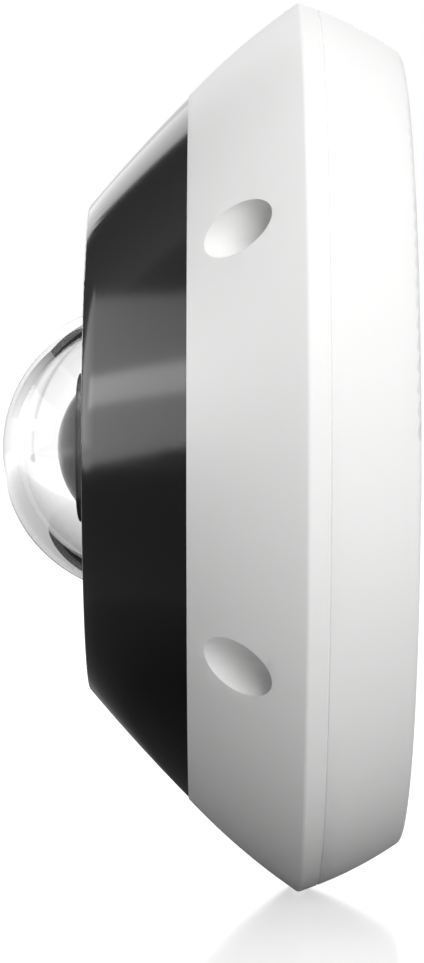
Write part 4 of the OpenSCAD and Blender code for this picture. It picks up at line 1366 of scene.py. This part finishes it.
def lens_face(peak: float, curve: float, reach: float, steps: int = 24) -> Outline:
    """Points on a domed face, from its peak on the axis outwards.

    Args:
        peak: height of the face on the axis.
        curve: its radius.
        reach: how far out it goes.
        steps: number of stretches.

    Returns:
        The points.
    """
    out = [reach * i / steps for i in range(steps + 1)]
    return [(x, peak - curve + math.sqrt(curve**2 - x**2)) for x in out]


@dataclass(frozen=True)
class Screw:
    """A screw with its head's underside at height 0, in millimetres.

    Attributes:
        head: radius of the head.
        head_height: height of the head.
        shank: radius over the thread.
        length: length below the head.
        recess: radius of the driver's recess at an angle.
        recess_depth: depth of the recess.
        guard: radius of a guard pin in the recess, or 0.
        guard_height: height of the guard pin.
        pitch: rise of the thread in one turn.
        crown: width and drop of the rounding round the top of the head.
        bevel: width of the bevels on the head and the guard pin.
        point: width of the bevels at the shank's ends.
    """

    head: float
    head_height: float
    shank: float
    length: float
    recess: Callable[[float], float]
    recess_depth: float = 0.7
    guard: float = 0.0
    guard_height: float = 1.4
    pitch: float = 0.5
    crown: tuple[float, float] = (0.3, 0.3)
    bevel: float = 0.1
    point: float = 0.3

    def unit(self, name: str, underside: float, up: bool = True) -> Piece:
        """Draws the screw on the housing's axis.

        Args:
            name: name of the piece.
            underside: height of the head's underside.
            up: whether the head looks towards the dome.

        Returns:
            The piece.
        """
        top, end = self.head_height, -self.length
        floor = top - self.recess_depth
        core = self.shank - self.pitch * THREAD_SHARE
        outline: Profile = [(0.0, floor)]
        if self.guard:
            tip = floor + self.guard_height
            outline = [(0.0, tip), (self.guard - self.bevel, tip), (self.guard, tip - self.bevel),
                       (self.guard, floor)]
        width, drop = self.crown
        outline += [(self.recess, floor), (self.recess, top)]
        outline += [(self.head - width + width * x, top - drop + drop * y)
                    for x, y in arc((0.0, 0.0), 1.0, 90, 0, 8)]
        outline += [(self.head, self.bevel), (self.head - self.bevel, 0.0), (self.shank, 0.0),
                    (core, -self.point), (core, end + 0.5), (core - self.point, end), (0.0, end)]
        side = 1.0 if up else -1.0
        place = Matrix.Translation((0, 0, underside)) @ Matrix.Diagonal((1, side, side, 1))
        thread = helix(core, end + 0.4, -0.5, self.pitch, 16)
        draft = Draft().spin(outline, 48, place).rod(thread, self.shank - core, 4, place)
        return draft.piece(name)


def slot_recess(width: float, reach: float) -> Callable[[float], float]:
    """The radius of a straight slot at an angle, which ends just inside the head."""
    return lambda angle: min(reach, width / 2 / max(abs(math.sin(angle)), 1e-6))


def pan_screw(length: float) -> Screw:
    """The slotted screw of a length that holds the window, the boards and the shroud."""
    return Screw(head=2.35, head_height=1.5, shank=1.25, length=length,
                 recess=slot_recess(0.6, 2.2))


@dataclass
class Housing:
    """The white shell, the dark window, their seals and the screws that hold them.

    Sizes are in millimetres, and heights are from the wall, here as in every sub-assembly.
    """

    palette: Palette
    edge: float = 0.25
    seal_edge: float = 0.2
    recesses: Ring = Ring(6, 68.5)
    seat: float = 18.5
    washer: float = 0.8
    washer_bore: float = 2.1
    washer_radius: float = 4.2
    window_screw_places: Ring = Ring(6, 56.6)
    window_screw_seat: float = 33.2

    def build(self) -> None:
        """Makes every piece of the housing."""
        for node in ("base_housing", "front_cover", "ir_window"):
            self.palette.soften(node, self.edge)
        self.cover_screws()
        self.washers()
        unit = pan_screw(4.8).unit("window_screw", self.window_screw_seat, up=False)
        self.palette.set_out("window_screws_threaded", unit, self.window_screw_places,
                             "window_screws")
        for node in ("cable_grommet", "cover_gasket", "wall_gasket"):
            self.palette.soften(node, self.seal_edge, 2)

    def cover_screws(self) -> None:
        """Screws with a six-sided socket and a guard pin, one in each recess."""
        screw = Screw(head=3.9, head_height=3.4, shank=2.0, length=11.7, recess=polygon(2.0, 6),
                      recess_depth=1.9, guard=0.6, pitch=0.7, crown=(1.6, 1.9))
        unit = screw.unit("cover_screw", self.seat + self.washer)
        self.palette.set_out("cover_screws_threaded", unit, self.recesses, "cover_screws")

    def washers(self) -> None:
        """Rubber washers with a rounded rim under the heads."""
        half = self.washer / 2
        outline = [(self.washer_bore, self.seat + self.washer), (self.washer_bore, self.seat)]
        outline += arc((self.washer_radius - half, self.seat + half), half, -90, 90, 8)
        unit = Draft().spin(outline).piece("washer")
        self.palette.set_out("washers_rounded", unit, self.recesses, "sealing_washers")


@dataclass
class Dome:
    """The clear bubble, its seal and the ring that holds it from inside."""

    palette: Palette
    centre: float = 43.6
    radius: float = 25.7
    wall: float = 3.2
    flange_radius: float = 31.0
    flange_low: float = 46.8
    flange_high: float = 49.3
    fillet: float = 0.5
    rim_rounding: float = 0.3
    screw_places: Ring = Ring(6, 35.4)
    screw_seat: float = 44.8

    def build(self) -> None:
        """Makes every piece of the dome."""
        self.bubble()
        self.palette.soften("dome_gasket", 0.25)
        self.palette.soften("dome_retainer", 0.15, 2)
        screw = Screw(head=2.1, head_height=1.5, shank=1.0, length=5.0,
                      recess=slot_recess(0.6, 1.95), pitch=0.4)
        unit = screw.unit("retainer_screw", self.screw_seat, up=False)
        self.palette.set_out("retainer_screws_threaded", unit, self.screw_places,
                             "retainer_screws")

    def bubble(self) -> None:
        """The bubble as one smooth turned piece, with a fillet above its flange."""
        shoulder = self.flange_high + self.fillet
        rise = shoulder - self.centre
        reach = math.sqrt((self.radius + self.fillet) ** 2 - rise**2)
        low = math.degrees(math.atan2(rise, reach))
        inner = self.radius - self.wall
        inner_low = math.degrees(math.asin((self.flange_low - self.centre) / inner))
        corner = self.rim_rounding
        rim = self.flange_radius - corner
        outline = arc((0.0, self.centre), self.radius, 90, low, 72)
        outline += arc((reach, shoulder), self.fillet, 180 + low, 270, 6)
        outline += arc((rim, self.flange_high - corner), corner, 90, 0, 4)
        outline += arc((rim, self.flange_low + corner), corner, 0, -90, 4)
        outline += arc((0.0, self.centre), inner, inner_low, 90, 72)
        self.palette.turned("dome_turned", on_axis(outline), 256, "dome_bubble")


@dataclass
class LensStack:
    """The lens: its glass, its barrel with a thread, and the rings that hold them.

    The front and the middle lens are hollow behind, with the radii front_hollow and
    middle_hollow. A thickness is a lens's own, on the axis.
    """

    palette: Palette
    barrel_low: float = 32.15
    barrel_top: float = 52.0
    thread_radius: float = 6.0
    thread_depth: float = 0.3
    rear_bore: float = 4.6
    throat: float = 3.8
    head_low: float = 45.0
    head_floor: float = 1.4
    head_radius: float = 12.3
    head_bore: float = 10.9
    ring_top: float = 55.3
    ring_radius: float = 13.1
    ring_bore: float = 9.0
    ring_neck: float = 0.25
    ring_grip: tuple[float, float] = (0.2, 1.1)
    ring_groove: tuple[float, float] = (1.25, 1.4)
    lip: float = 0.45
    glass_radius: float = 10.2
    glass_play: float = 0.15
    glass_edge: float = 2.2
    front_radius: float = 15.3
    front_hollow: float = 9.0
    front_thickness: float = 2.4
    lock_low: float = 43.0
    lock_radius: float = 9.0
    lock_bore: float = 6.08
    lock_bevel: float = 0.3
    middle_rim: float = 10.75
    middle_gap: float = 0.6
    middle_radius: float = 16.0
    middle_hollow: float = 9.0
    middle_thickness: float = 1.8
    rear_radius: float = 8.0
    rear_rim: float = 4.52
    rear_reach: float = 3.65
    rear_edge: float = 1.4
    rear_thickness: float = 2.4

    def build(self) -> None:
        """Makes every piece of the lens."""
        self.front_glass()
        self.front_ring()
        self.barrel()
        self.lock_ring()
        self.middle_glass()
        self.rear_glass()
        self.palette.soften("rear_lens_ring", 0.1, 2)

    def front_glass(self) -> None:
        """The domed front lens, hollow behind."""
        seat = self.ring_top - self.glass_edge
        centre = self.ring_top - math.sqrt(self.front_radius**2 - self.glass_radius**2)
        low = math.degrees(math.asin((self.ring_top - centre) / self.front_radius))
        hollow = centre + self.front_radius - self.front_thickness - self.front_hollow
        hollow_low = math.degrees(math.asin((seat - hollow) / self.front_hollow))
        bevel = self.glass_play
        outline = arc((0.0, centre), self.front_radius, 90, low, 40)
        outline += [(self.glass_radius, seat + bevel), (self.glass_radius - bevel, seat)]
        outline += arc((0.0, hollow), self.front_hollow, hollow_low, 90, 32)
        self.palette.turned("front_lens_turned", on_axis(outline), 192, "front_lens")

    def front_ring(self) -> None:
        """The ring round the front lens: a satin band with a ridged grip, and a black lip."""
        low, top = self.barrel_top, self.ring_top
        outer, glass = self.ring_radius, self.glass_radius
        grip = knurl(outer, depth=0.18, count=90)
        (grip_low, grip_high), (groove_low, groove_high) = self.ring_grip, self.ring_groove
        neck, bore = outer - self.ring_neck, glass + self.glass_play
        edge, seat = top - self.lip, top - self.glass_edge
        band: Profile = [(self.ring_bore, low), (outer - 0.2, low), (grip, low + grip_low),
                         (grip, low + grip_high), (neck, low + groove_low),
                         (neck, low + groove_high), (outer, low + groove_high + 0.1),
                         (outer, edge), (bore, edge), (bore, seat), (self.ring_bore, seat)]
        self.palette.turned("lens_ring_ridged", band, 360, "lens_ring")
        lip = [(outer, edge)]
        lip += arc((neck, top - self.ring_neck), self.ring_neck, 0, 90, 5)
        lip += [(outer - 0.8, top), (glass + 0.85, top - 0.08), (glass + 0.7, top),
                (glass + 0.1, top - 0.03), (glass + 0.1, edge)]
        self.palette.dress(Draft().spin(lip, 256).piece("lens_ring_lip"), "black_gloss")

    def barrel(self) -> None:
        """The barrel: a ridged head, hollow for the glass, and a threaded tube."""
        low, head, top = self.barrel_low, self.head_low, self.barrel_top
        tube, outer = self.thread_radius, self.head_radius
        core = tube - self.thread_depth
        floor = head + self.head_floor
        grip = knurl(outer, depth=0.2, count=72)
        outline: Profile = [(self.rear_bore, low), (core - 0.3, low), (core, low + 0.3),
                            (core, head - 0.1), (tube, head), (outer - 0.3, head),
                            (outer, head + 0.3), (outer, head + 1.2), (grip, floor),
                            (grip, top - 1.6), (outer, top - 1.4), (outer, top - 0.2),
                            (outer - 0.2, top), (self.head_bore, top), (self.head_bore, floor),
                            (self.throat, floor), (self.throat, head), (self.rear_bore, head)]
        thread = helix(core, low + 0.6, head - 0.4, pitch=0.5, steps=32)
        barrel = Draft().spin(outline, 288).rod(thread, tube - core, 4)
        self.palette.stand_in(barrel.piece("lens_barrel_threaded"), "lens_barrel")

    def lock_ring(self) -> None:
        """The ring that locks the focus, ridged all round."""
        low, top, crest, bore = self.lock_low, self.head_low, self.lock_radius, self.lock_bore
        bevel, mouth = self.lock_bevel, bore + 0.22
        grip = knurl(crest, depth=0.3, count=60)
        outline: Profile = [(bore, low + 0.2), (mouth, low), (crest - bevel, low),
                            (grip, low + bevel), (grip, top - bevel), (crest - bevel, top),
                            (mouth, top), (bore, top - 0.2)]
        self.palette.turned("lock_ring_ridged", outline, 240, "focus_lock_ring")

    def middle_glass(self) -> None:
        """The middle lens, domed in front and hollow behind."""
        tip, low = self.barrel_top - self.middle_gap, self.head_low + self.head_floor
        rim, hollow = self.middle_rim, self.middle_hollow
        centre = tip - self.middle_thickness - hollow
        foot = math.sqrt(hollow**2 - (low - centre) ** 2) if low > centre else hollow
        outline = lens_face(tip, self.middle_radius, rim)
        outline += [(rim, min(outline[-1][1], low + 0.2)), (rim, low), (foot, low)]
        outline += lens_face(centre + hollow, hollow, foot)[-2::-1]
        self.palette.turned("middle_lens_turned", outline, 128, "middle_lens")

    def rear_glass(self) -> None:
        """The rear lens, flat in front and domed behind."""
        top, low = self.head_low, self.head_low - self.rear_edge
        start = math.degrees(math.asin(self.rear_reach / self.rear_radius))
        centre = top - self.rear_thickness + self.rear_radius
        outline = [(0.0, top), (self.rear_rim, top), (self.rear_rim, low), (self.rear_reach, low)]
        outline += arc((0.0, centre), self.rear_radius, -90 + start, -90, 16)
        self.palette.turned("rear_lens_turned", on_axis(outline), 96, "rear_lens")


def spacer(name: str, flats: float, low: float, high: float, stud: float) -> Piece:
    """A six-sided spacer on the housing's axis, with a stud below and a threaded hole above.

    Args:
        name: name of the piece.
        flats: width across its flats, in millimetres.
        low: height of its foot.
        high: height of its top.
        stud: length of the stud.

    Returns:
        The piece.
    """
    thread, end, middle = 1.25, low - stud, (low + high) / 2
    body = polygon(flats / 2 / math.cos(math.pi / 6), 6)
    face, bore = flats / 2 - 0.1, thread + 0.05

    def chamfer(angle: float) -> float:
        """The radius where the corners are turned off."""
        return min(body(angle), flats / 2 + 0.1)

    outline: Profile = [
        (0.0, end), (thread - 0.2, end), (thread, end + 0.2), (thread, low), (face, low),
        (chamfer, low + 0.12), (body, low + 0.4), (body, high - 0.4), (chamfer, high - 0.12),
        (face, high), (thread + 0.3, high), (bore, high - 0.25), (bore, middle),
        (0.0, middle - 0.5),
    ]
    return Draft().spin(outline, 48).piece(name)


def chip_leg(draft: Draft, place: Matrix, reach: float, width: float) -> None:
    """Adds a bent leg of a chip to a drawing.

    Args:
        draft: the drawing.
        place: where the leg leaves the chip, with the way outwards along its x.
        reach: how far the leg's foot goes, in millimetres.
        width: the leg's width.
    """
    side = [(-0.1, 0.45), (0.3, 0.45), (0.45, 0.12), (reach, 0.12), (reach, 0.0), (0.37, 0.0),
            (0.22, 0.33), (-0.1, 0.33)]
    draft.prism(side, -width / 2, width / 2, place @ Matrix.Rotation(math.pi / 2, 4, "X"))


def strip(path: Outline, width: float, lines: int) -> Draft:
    """A flat ribbon whose conductors show as ridges.

    Args:
        path: y and height of the points along its middle, in millimetres.
        width: its width, along x.
        lines: number of conductors.

    Returns:
        The drawing.
    """
    margin, film, ridge = 0.5, 0.09, 0.14
    pitch = (width - 2 * margin) / lines
    across = [(-width / 2, film), (-width / 2 + margin, film)]
    for i in range(lines):
        start = -width / 2 + margin + pitch * i
        across += [(start + pitch * 0.25, ridge), (start + pitch * 0.75, ridge),
                   (start + pitch, film)]
    across.append((width / 2, film))
    section = across + [(x, -t) for x, t in reversed(across)]
    rings = []
    for i, (y, height) in enumerate(path):
        before, after = path[max(i - 1, 0)], path[min(i + 1, len(path) - 1)]
        way = Vector((after[0] - before[0], after[1] - before[1])).normalized()
        rings.append([Vector((x, y - t * way.y, height + t * way.x)) for x, t in section])
    return Draft().skin(rings, Matrix(), closed=False)


@dataclass
class LampRing:
    """The infrared lamps on their board, its spacers and the shroud over it."""

    palette: Palette
    board_low: float = 38.0
    board_top: float = 39.6
    lamp_places: Ring = Ring(8, 47.0, 22.5)
    resistor_places: Ring = Ring(8, 47.0)
    lamp_side: float = 3.2
    lamp_height: float = 1.0
    cup_floor: float = 0.35
    chip_side: float = 0.8
    lens_radius: float = 1.3
    screw_places: Ring = Ring(4, 41.0, 45)
    spacer_foot: float = 22.4
    shroud_seat: float = 40.8

    def build(self) -> None:
        """Makes every piece of the lamp ring."""
        self.palette.soften("lamp_board", 0.1, 2)
        self.palette.soften("lens_shroud", 0.25)
        self.lamps()
        unit = spacer("lamp_spacer", 5.0, self.spacer_foot, self.board_low, 2.0)
        self.palette.set_out("lamp_spacers_turned", unit, self.screw_places, "lamp_standoffs")
        unit = pan_screw(10.0).unit("shroud_screw", self.shroud_seat)
        self.palette.set_out("shroud_screws_threaded", unit, self.screw_places, "shroud_screws")
        self.palette.small_parts("lamp_resistors", self.resistor_places, self.board_top)

    def lamps(self) -> None:
        """Square lamps, each with a round cup, a chip in it and a clear lens."""
        low, top, bevel = self.board_top, self.board_top + self.lamp_height, 0.12
        floor, mouth = low + self.cup_floor, self.lens_radius + 0.1
        side = polygon(self.lamp_side / math.sqrt(2), 4)
        cup: Profile = [(0.0, floor), (self.chip_side, floor), (mouth - 0.05, top - 0.05),
                        (mouth, top), (lambda a: side(a) - bevel, top), (side, top - bevel),
                        (side, low), (0.0, low)]
        body = Draft().spin(cup, 48, at(turn=45)).piece("lamp_cup")
        self.palette.set_out("lamp_cups", body, self.lamp_places, "infrared_lamps")
        chip = Draft().block((self.chip_side, self.chip_side, 0.2), floor + 0.01)
        self.palette.set_out("lamp_chips", chip.piece("lamp_chip", 0.04), self.lamp_places,
                             slot="magnet_grey")
        bulb = arc((0.0, top), self.lens_radius, 90, -36, 20)
        lens = Draft().spin(on_axis([*bulb, bulb[-1]]), 32).piece("lamp_lens")
        self.palette.set_out("lamp_lenses", lens, self.lamp_places, slot="clear_dome")


@dataclass
class InnerFrame:
    """The chassis plate, the spacers below it and their screws."""

    palette: Palette
    places: Ring = Ring(4, 33.0, 45)
    board_top: float = 13.6
    plate_low: float = 20.4
    plate_top: float = 22.4

    def build(self) -> None:
        """Makes every piece of the inner frame."""
        self.palette.soften("chassis_plate", 0.2, 2)
        unit = spacer("board_spacer", 5.4, self.board_top, self.plate_low, 8.6)
        self.palette.set_out("board_spacers_turned", unit, self.places, "board_standoffs")
        unit = pan_screw(4.8).unit("frame_screw", self.plate_top)
        self.palette.set_out("frame_screws_threaded", unit, self.places, "frame_screws")


@dataclass
class FilterSwitch:
    """The day and night switch: holder, carriage, two filters, magnet, yoke and coil."""

    palette: Palette
    rotor_x: float = 16.4
    rotor_radius: float = 2.2
    rotor_low: float = 25.15
    rotor_bevel: float = 0.2
    groove: tuple[float, float] = (27.1, 27.9)
    groove_depth: float = 0.25
    pivot_low: float = 24.15
    pivot_radius: float = 0.6
    arm_low: float = 29.4
    arm_top: float = 30.3
    arm_length: float = 7.0
    arm_turn: float = 142.1
    pin_low: float = 27.4
    pin_radius: float = 0.6
    coil_height: float = 27.3
    coil_ends: tuple[float, float] = (3.7, 10.7)
    coil_radius: float = 2.3
    cheek: float = 0.4
    wire_radius: float = 0.17

    def build(self) -> None:
        """Makes every piece of the switch."""
        for node, width in (("lens_holder", 0.3), ("filter_guide", 0.1),
                            ("filter_carriage", 0.15), ("ir_cut_filter", 0.08),
                            ("clear_filter", 0.08), ("filter_yoke", 0.15)):
            self.palette.soften(node, width, 2)
        self.rotor()
        self.coil()

    def rotor(self) -> None:
        """The magnet drum with its pivot, its arm and the pin that shifts the carriage."""
        drum, low, top, bevel = self.rotor_radius, self.rotor_low, self.arm_top, self.rotor_bevel
        neck, (groove_low, groove_high) = drum - self.groove_depth, self.groove
        axis, swung = at(self.rotor_x), at(self.rotor_x, turn=self.arm_turn)
        body = [(0.0, low), (drum - bevel, low), (drum, low + bevel), (drum, groove_low),
                (neck, groove_low + bevel), (neck, groove_high - bevel), (drum, groove_high),
                (drum, top - bevel), (drum - bevel, top), (0.7, top), (0.5, top - 0.4),
                (0.0, top - 0.4)]
        pivot = peg(self.pivot_radius, self.pivot_low, low + 0.1, 0.1)
        pin = peg(self.pin_radius, self.pin_low, self.arm_low + 0.1, 0.15)
        arm = arc((0.0, 0.0), 1.2, 80, 280, 16)
        arm += arc((self.arm_length, 0.0), 0.72, -80, 80, 16)
        rotor = (
            Draft()
            .spin(body, 64, axis)
            .spin(pivot, 32, axis)
            .spin(pin, 32, swung @ at(self.arm_length))
            .prism(arm, self.arm_low, top - 0.02, swung)
            .piece("filter_rotor_turned", 0.06)
        )
        self.palette.stand_in(rotor, "filter_rotor")

    def coil(self) -> None:
        """A bobbin and the turns of enamelled wire on it."""
        low, high = self.coil_ends
        outer, wire = self.coil_radius, self.wire_radius
        first, last, core = low + self.cheek, high - self.cheek, outer - 0.37
        middle = at(self.rotor_x, 0.0, self.coil_height) @ Matrix.Rotation(-math.pi / 2, 4, "X")
        spool = [(0.0, low), (outer, low), (outer, first), (core, first), (core, last),
                 (outer, last), (outer, high), (0.0, high)]
        bobbin = Draft().spin(spool, 64, middle).piece("coil_bobbin")
        self.palette.dress(bobbin, "dark_plastic")
        section = arc((outer - wire - 0.03, first + wire), wire, 0, 330, 11)
        unit = Draft().spin(section, 48, middle).piece("coil_turn")
        turns = int((high - low - 2 * self.cheek) / (2 * wire))
        self.palette.set_out("coil_windings", unit, row(turns, y=2 * wire), "filter_coil")


@dataclass
class SensorBoard:
    """The sensor board with the image sensor and its small parts."""

    palette: Palette
    top: float = 24.0
    sensor: tuple[float, float, float] = (9.0, 11.0, 1.8)
    wall: float = 0.9
    patches: Patches = ((-18.5, -14.0, -12.5, 14.0), (13.0, -18.0, 18.5, -6.5),
                        (-9.0, -18.8, 9.0, -16.8))

    def build(self) -> None:
        """Makes every piece of the sensor board."""
        self.palette.soften("sensor_board", 0.12, 2)
        self.image_sensor()
        places = Strewn(self.patches, self.top, gap=2.2, seed=5)
        self.palette.small_parts("sensor_capacitors", places, slot="ivory_plastic")

    def image_sensor(self) -> None:
        """A ceramic package with a step, and the light-sensitive chip under its glass."""
        x, y, height = self.sensor
        foot, top, wall = self.top, self.top + height, self.wall
        rings = []
        for inset, level in ((0.0, foot), (0.0, top), (wall - 0.2, top), (wall, top - 0.5),
                             (wall, foot + 0.3), (0.3, foot)):
            half_x, half_y = x / 2 - inset, y / 2 - inset
            rings.append([Vector((i * half_x, j * half_y, level))
                          for i, j in ((-1, -1), (1, -1), (1, 1), (-1, 1))])
        package = Draft().skin(rings, Matrix(), closed=True).piece("sensor_package", 0.05)
        self.palette.dress(package, "chip_black")
        size = (x - 2 * wall - 0.1, y - 2 * wall - 0.1, height - 0.6)
        self.palette.stand_in(Draft().block(size, foot).piece("sensor_die", 0.05), "image_sensor")


@dataclass
class MainBoard:
    """The main board with its chips, sockets, terminals and small parts."""

    palette: Palette
    low: float = 12.0
    top: float = 13.6
    memory_places: tuple[tuple[float, float], ...] = ((-9.0, -12.0), (9.0, -12.0))
    memory_size: tuple[float, float, float] = (11.4, 11.0, 0.84)
    memory_lift: float = 0.16
    leg_count: int = 13
    leg_pitch: float = 0.8
    switch_place: tuple[float, float] = (33.0, 24.0)
    switch_legs: tuple[float, ...] = (-2.2, 2.2)
    transformer_place: tuple[float, float] = (-34.0, 18.0)
    transformer_legs: tuple[float, ...] = (-3.0, -1.5, 0.0, 1.5, 3.0)
    button_low: float = 15.16
    button_top: float = 18.3
    button_radius: float = 1.7
    can_places: tuple[tuple[float, float], ...] = ((-34.0, -15.0), (-36.0, -25.0), (18.0, -34.0))
    can_radius: float = 3.1
    can_top: float = 5.8
    can_groove: float = 0.25
    can_base: float = 3.15
    jack_back: float = -42.0
    jack_roof: float = 24.8
    wire_pitch: float = 1.02
    card_pad_pitch: float = 1.05
    terminal_radius: float = 42.0
    terminal_pitch: float = 5.0
    terminal_screw_low: float = 21.2
    resistor_patches: Patches = ((-26.0, -6.0, -14.0, 15.0), (-18.0, 22.5, -8.0, 36.0),
                                 (-26.0, -38.0, -12.0, -30.0))
    capacitor_patches: Patches = ((9.0, -3.0, 21.0, 14.0), (9.0, 22.5, 17.5, 34.0),
                                  (24.0, -34.0, 32.0, -29.0), (26.0, 10.0, 38.0, 17.0))
    underside_patches: Patches = ((-30.0, -12.0, -12.0, 12.0), (12.0, -12.0, 30.0, 12.0))

    def build(self) -> None:
        """Makes every piece of the main board."""
        for node, width in (("main_board", 0.15), ("processor", 0.25), ("thermal_pad", 0.3),
                            ("power_transformer", 0.4), ("network_jack", 0.25),
                            ("card_slot", 0.15), ("reset_switch", 0.3),
                            ("power_terminal", 0.3), ("alarm_terminal", 0.3),
                            ("ribbon_connectors", 0.12), ("memory_card", 0.15)):
            self.palette.soften(node, width, 2)
        self.memory()
        self.button()
        self.legs()
        self.capacitors()
        self.jack_wires()
        self.card_contacts()
        self.terminal_screws()
        self.small_parts()

    def memory(self) -> None:
        """Two flat chips with rows of bent legs."""
        chips, legs = Draft(), Draft()
        half = self.memory_size[0] / 2
        start = (self.leg_count - 1) / 2 * self.leg_pitch
        for x, y in self.memory_places:
            chips.block(self.memory_size, self.top + self.memory_lift, at(x, y))
            for side, turn in ((-1, 180), (1, 0)):
                chip_leg(legs, at(x + side * half, y - start, self.top, turn), 0.8, 0.32)
        self.palette.stand_in(chips.piece("memory_chip_bodies", 0.1), "memory_chips")
        self.palette.set_out("memory_chip_legs", legs.piece("memory_leg"),
                             row(self.leg_count, y=self.leg_pitch), slot="tin_shell")

    def button(self) -> None:
        """The reset button, rounded and a little hollow at its top."""
        low, top, radius = self.button_low, self.button_top, self.button_radius
        outline = [(0.0, low), (radius - 0.15, low), (radius, low + 0.15)]
        outline += arc((radius - 0.35, top - 0.35), 0.35, 0, 90, 6)
        outline += [(radius - 0.7, top - 0.04), (radius - 1.1, top - 0.1), (0.0, top - 0.12)]
        button = Draft().spin(outline, 48, at(*self.switch_place)).piece("reset_button_turned")
        self.palette.stand_in(button, "reset_button")

    def legs(self) -> None:
        """The legs of the reset switch and of the power transformer."""
        legs = Draft()
        for (x, y), half, shifts in ((self.switch_place, 3.0, self.switch_legs),
                                     (self.transformer_place, 5.0, self.transformer_legs)):
            for side, turn in ((1, 0), (-1, 180)):
                for shift in shifts:
                    chip_leg(legs, at(x + side * half, y + shift, self.top, turn), 0.9, 0.6)
        self.palette.dress(legs.piece("switch_and_transformer_legs"), "tin_shell")

    def capacitors(self) -> None:
        """Round cans with a rolled groove, on square bases with two cut corners."""
        cans, bases = Draft(), Draft()
        reach, cut = self.can_base, 2.0
        base = [(-reach, -reach), (reach, -reach), (reach, cut), (cut, reach), (-cut, reach),
                (-reach, cut)]
        outer, top, groove = self.can_radius, self.can_top, self.can_groove
        can = [(0.0, 0.9), (outer - 0.2, 0.9), (outer, 1.1), (outer, 1.95 - groove),
               (outer - groove, 1.95), (outer, 1.95 + groove), (outer, top - groove),
               (outer - groove, top), (outer - 0.6, top), (outer - 0.7, top - 0.1),
               (0.0, top - 0.1)]
        for x, y in self.can_places:
            cans.spin(can, 48, at(x, y, self.top))
            bases.prism(base, 0.0, 0.95, at(x, y, self.top))
        self.palette.stand_in(cans.piece("capacitor_cans"), "capacitors")
        self.palette.dress(bases.piece("capacitor_bases", 0.1), "dark_plastic")

    def jack_wires(self) -> None:
        """The sprung wires that hang from the network jack's roof."""
        side = [(15.0, -0.22), (14.3, -0.26), (11.0, -1.25), (8.2, -2.1), (7.7, -2.2), (7.4, -2.1)]
        start = -3.5 * self.wire_pitch
        path = [Vector((start, self.jack_back + y, self.jack_roof + z)) for y, z in side]
        unit = Draft().rod(path, 0.2).piece("jack_wire")
        self.palette.set_out("jack_wires", unit, row(8, x=self.wire_pitch), "jack_contacts")

    def card_contacts(self) -> None:
        """The gold contacts of the memory card and the ridge that it is pulled out by."""
        pad = Draft().block((2.8, 0.8, 0.04), 14.23, at(26.8, -4.6)).piece("card_pad", 0.01)
        self.palette.set_out("card_contacts", pad, row(8, y=self.card_pad_pitch),
                             slot="gold_contact", body="memory_card")
        grip = Draft().block((0.8, 8.4, 0.2), 15.2, at(38.9, 0.0))
        self.palette.dress(grip.piece("card_grip", 0.08), "dark_plastic", "memory_card")

    def terminal_screws(self) -> None:
        """The slotted screws of the two terminal blocks."""
        screws = Draft()
        slot, height, outer = slot_recess(0.6, 1.35), 1.2, 1.5
        head = [(0.0, 0.0), (outer - 0.15, 0.0), (outer, 0.15), (outer, height - 0.15),
                (outer - 0.08, height), (slot, height), (slot, height / 2), (0.0, height / 2)]
        for turn, ways in ((0, 2), (90, 3)):
            for i in range(ways):
                shift = (i - (ways - 1) / 2) * self.terminal_pitch
                place = at(turn=turn) @ at(shift, self.terminal_radius, self.terminal_screw_low)
                screws.spin(head, 48, place)
        self.palette.stand_in(screws.piece("terminal_screws_slotted"), "terminal_screws")

    def small_parts(self) -> None:
        """Resistors and capacitors on both faces of the board."""
        above = Strewn(self.capacitor_patches, self.top, gap=2.5, seed=11)
        below = Strewn(self.underside_patches, self.low, gap=3.4, seed=9, faces_up=False)
        self.palette.small_parts("board_resistors",
                                 Strewn(self.resistor_patches, self.top, gap=2.3, seed=3))
        self.palette.small_parts("board_capacitors", above, slot="ivory_plastic")
        self.palette.small_parts("underside_capacitors", below, slot="ivory_plastic")


@dataclass
class Ribbons:
    """The flat ribbons that join the boards: each leaves its lower socket and turns outwards."""

    palette: Palette
    width: float = 10.0
    lines: int = 14
    low: float = 14.25
    sensor_high: float = 24.65
    sensor_ends: float = 17.6
    sensor_turn: float = 20.15
    lamp_high: float = 37.35
    lamp_ends: tuple[float, float] = (34.5, 40.0)
    lamp_turn: float = 31.0
    bend: float = 2.5

    def build(self) -> None:
        """Makes both ribbons."""
        low, ends = self.low, self.sensor_ends
        radius = (self.sensor_high - low) / 2
        turn = arc((self.sensor_turn, low + radius), radius, -90, 90, 24)
        self.ribbon("sensor_ribbon", [(ends, low), *turn, (ends, self.sensor_high)])
        high, (start, end) = self.lamp_high, self.lamp_ends
        lower = arc((self.lamp_turn, low + self.bend), self.bend, 270, 180, 12)
        upper = arc((self.lamp_turn, high - self.bend), self.bend, 180, 90, 12)
        self.ribbon("lamp_ribbon", [(start, low), *lower, *upper, (end, high)])

    def ribbon(self, node: str, path: Outline) -> None:
        """One ribbon along a path, in place of its CAD node."""
        self.palette.stand_in(strip(path, self.width, self.lines).piece(f"{node}_lined"), node)


def main() -> None:
    """Builds the whole scene."""
    logging.basicConfig(level=logging.INFO, format="%(name)s: %(message)s")
    palette = Palette()
    palette.paint_nodes()
    for assembly in (Housing, Dome, LensStack, LampRing, InnerFrame, FilterSwitch, SensorBoard,
                     MainBoard, Ribbons):
        assembly(palette).build()
    Studio().build()


if __name__ == "__main__":
    main()
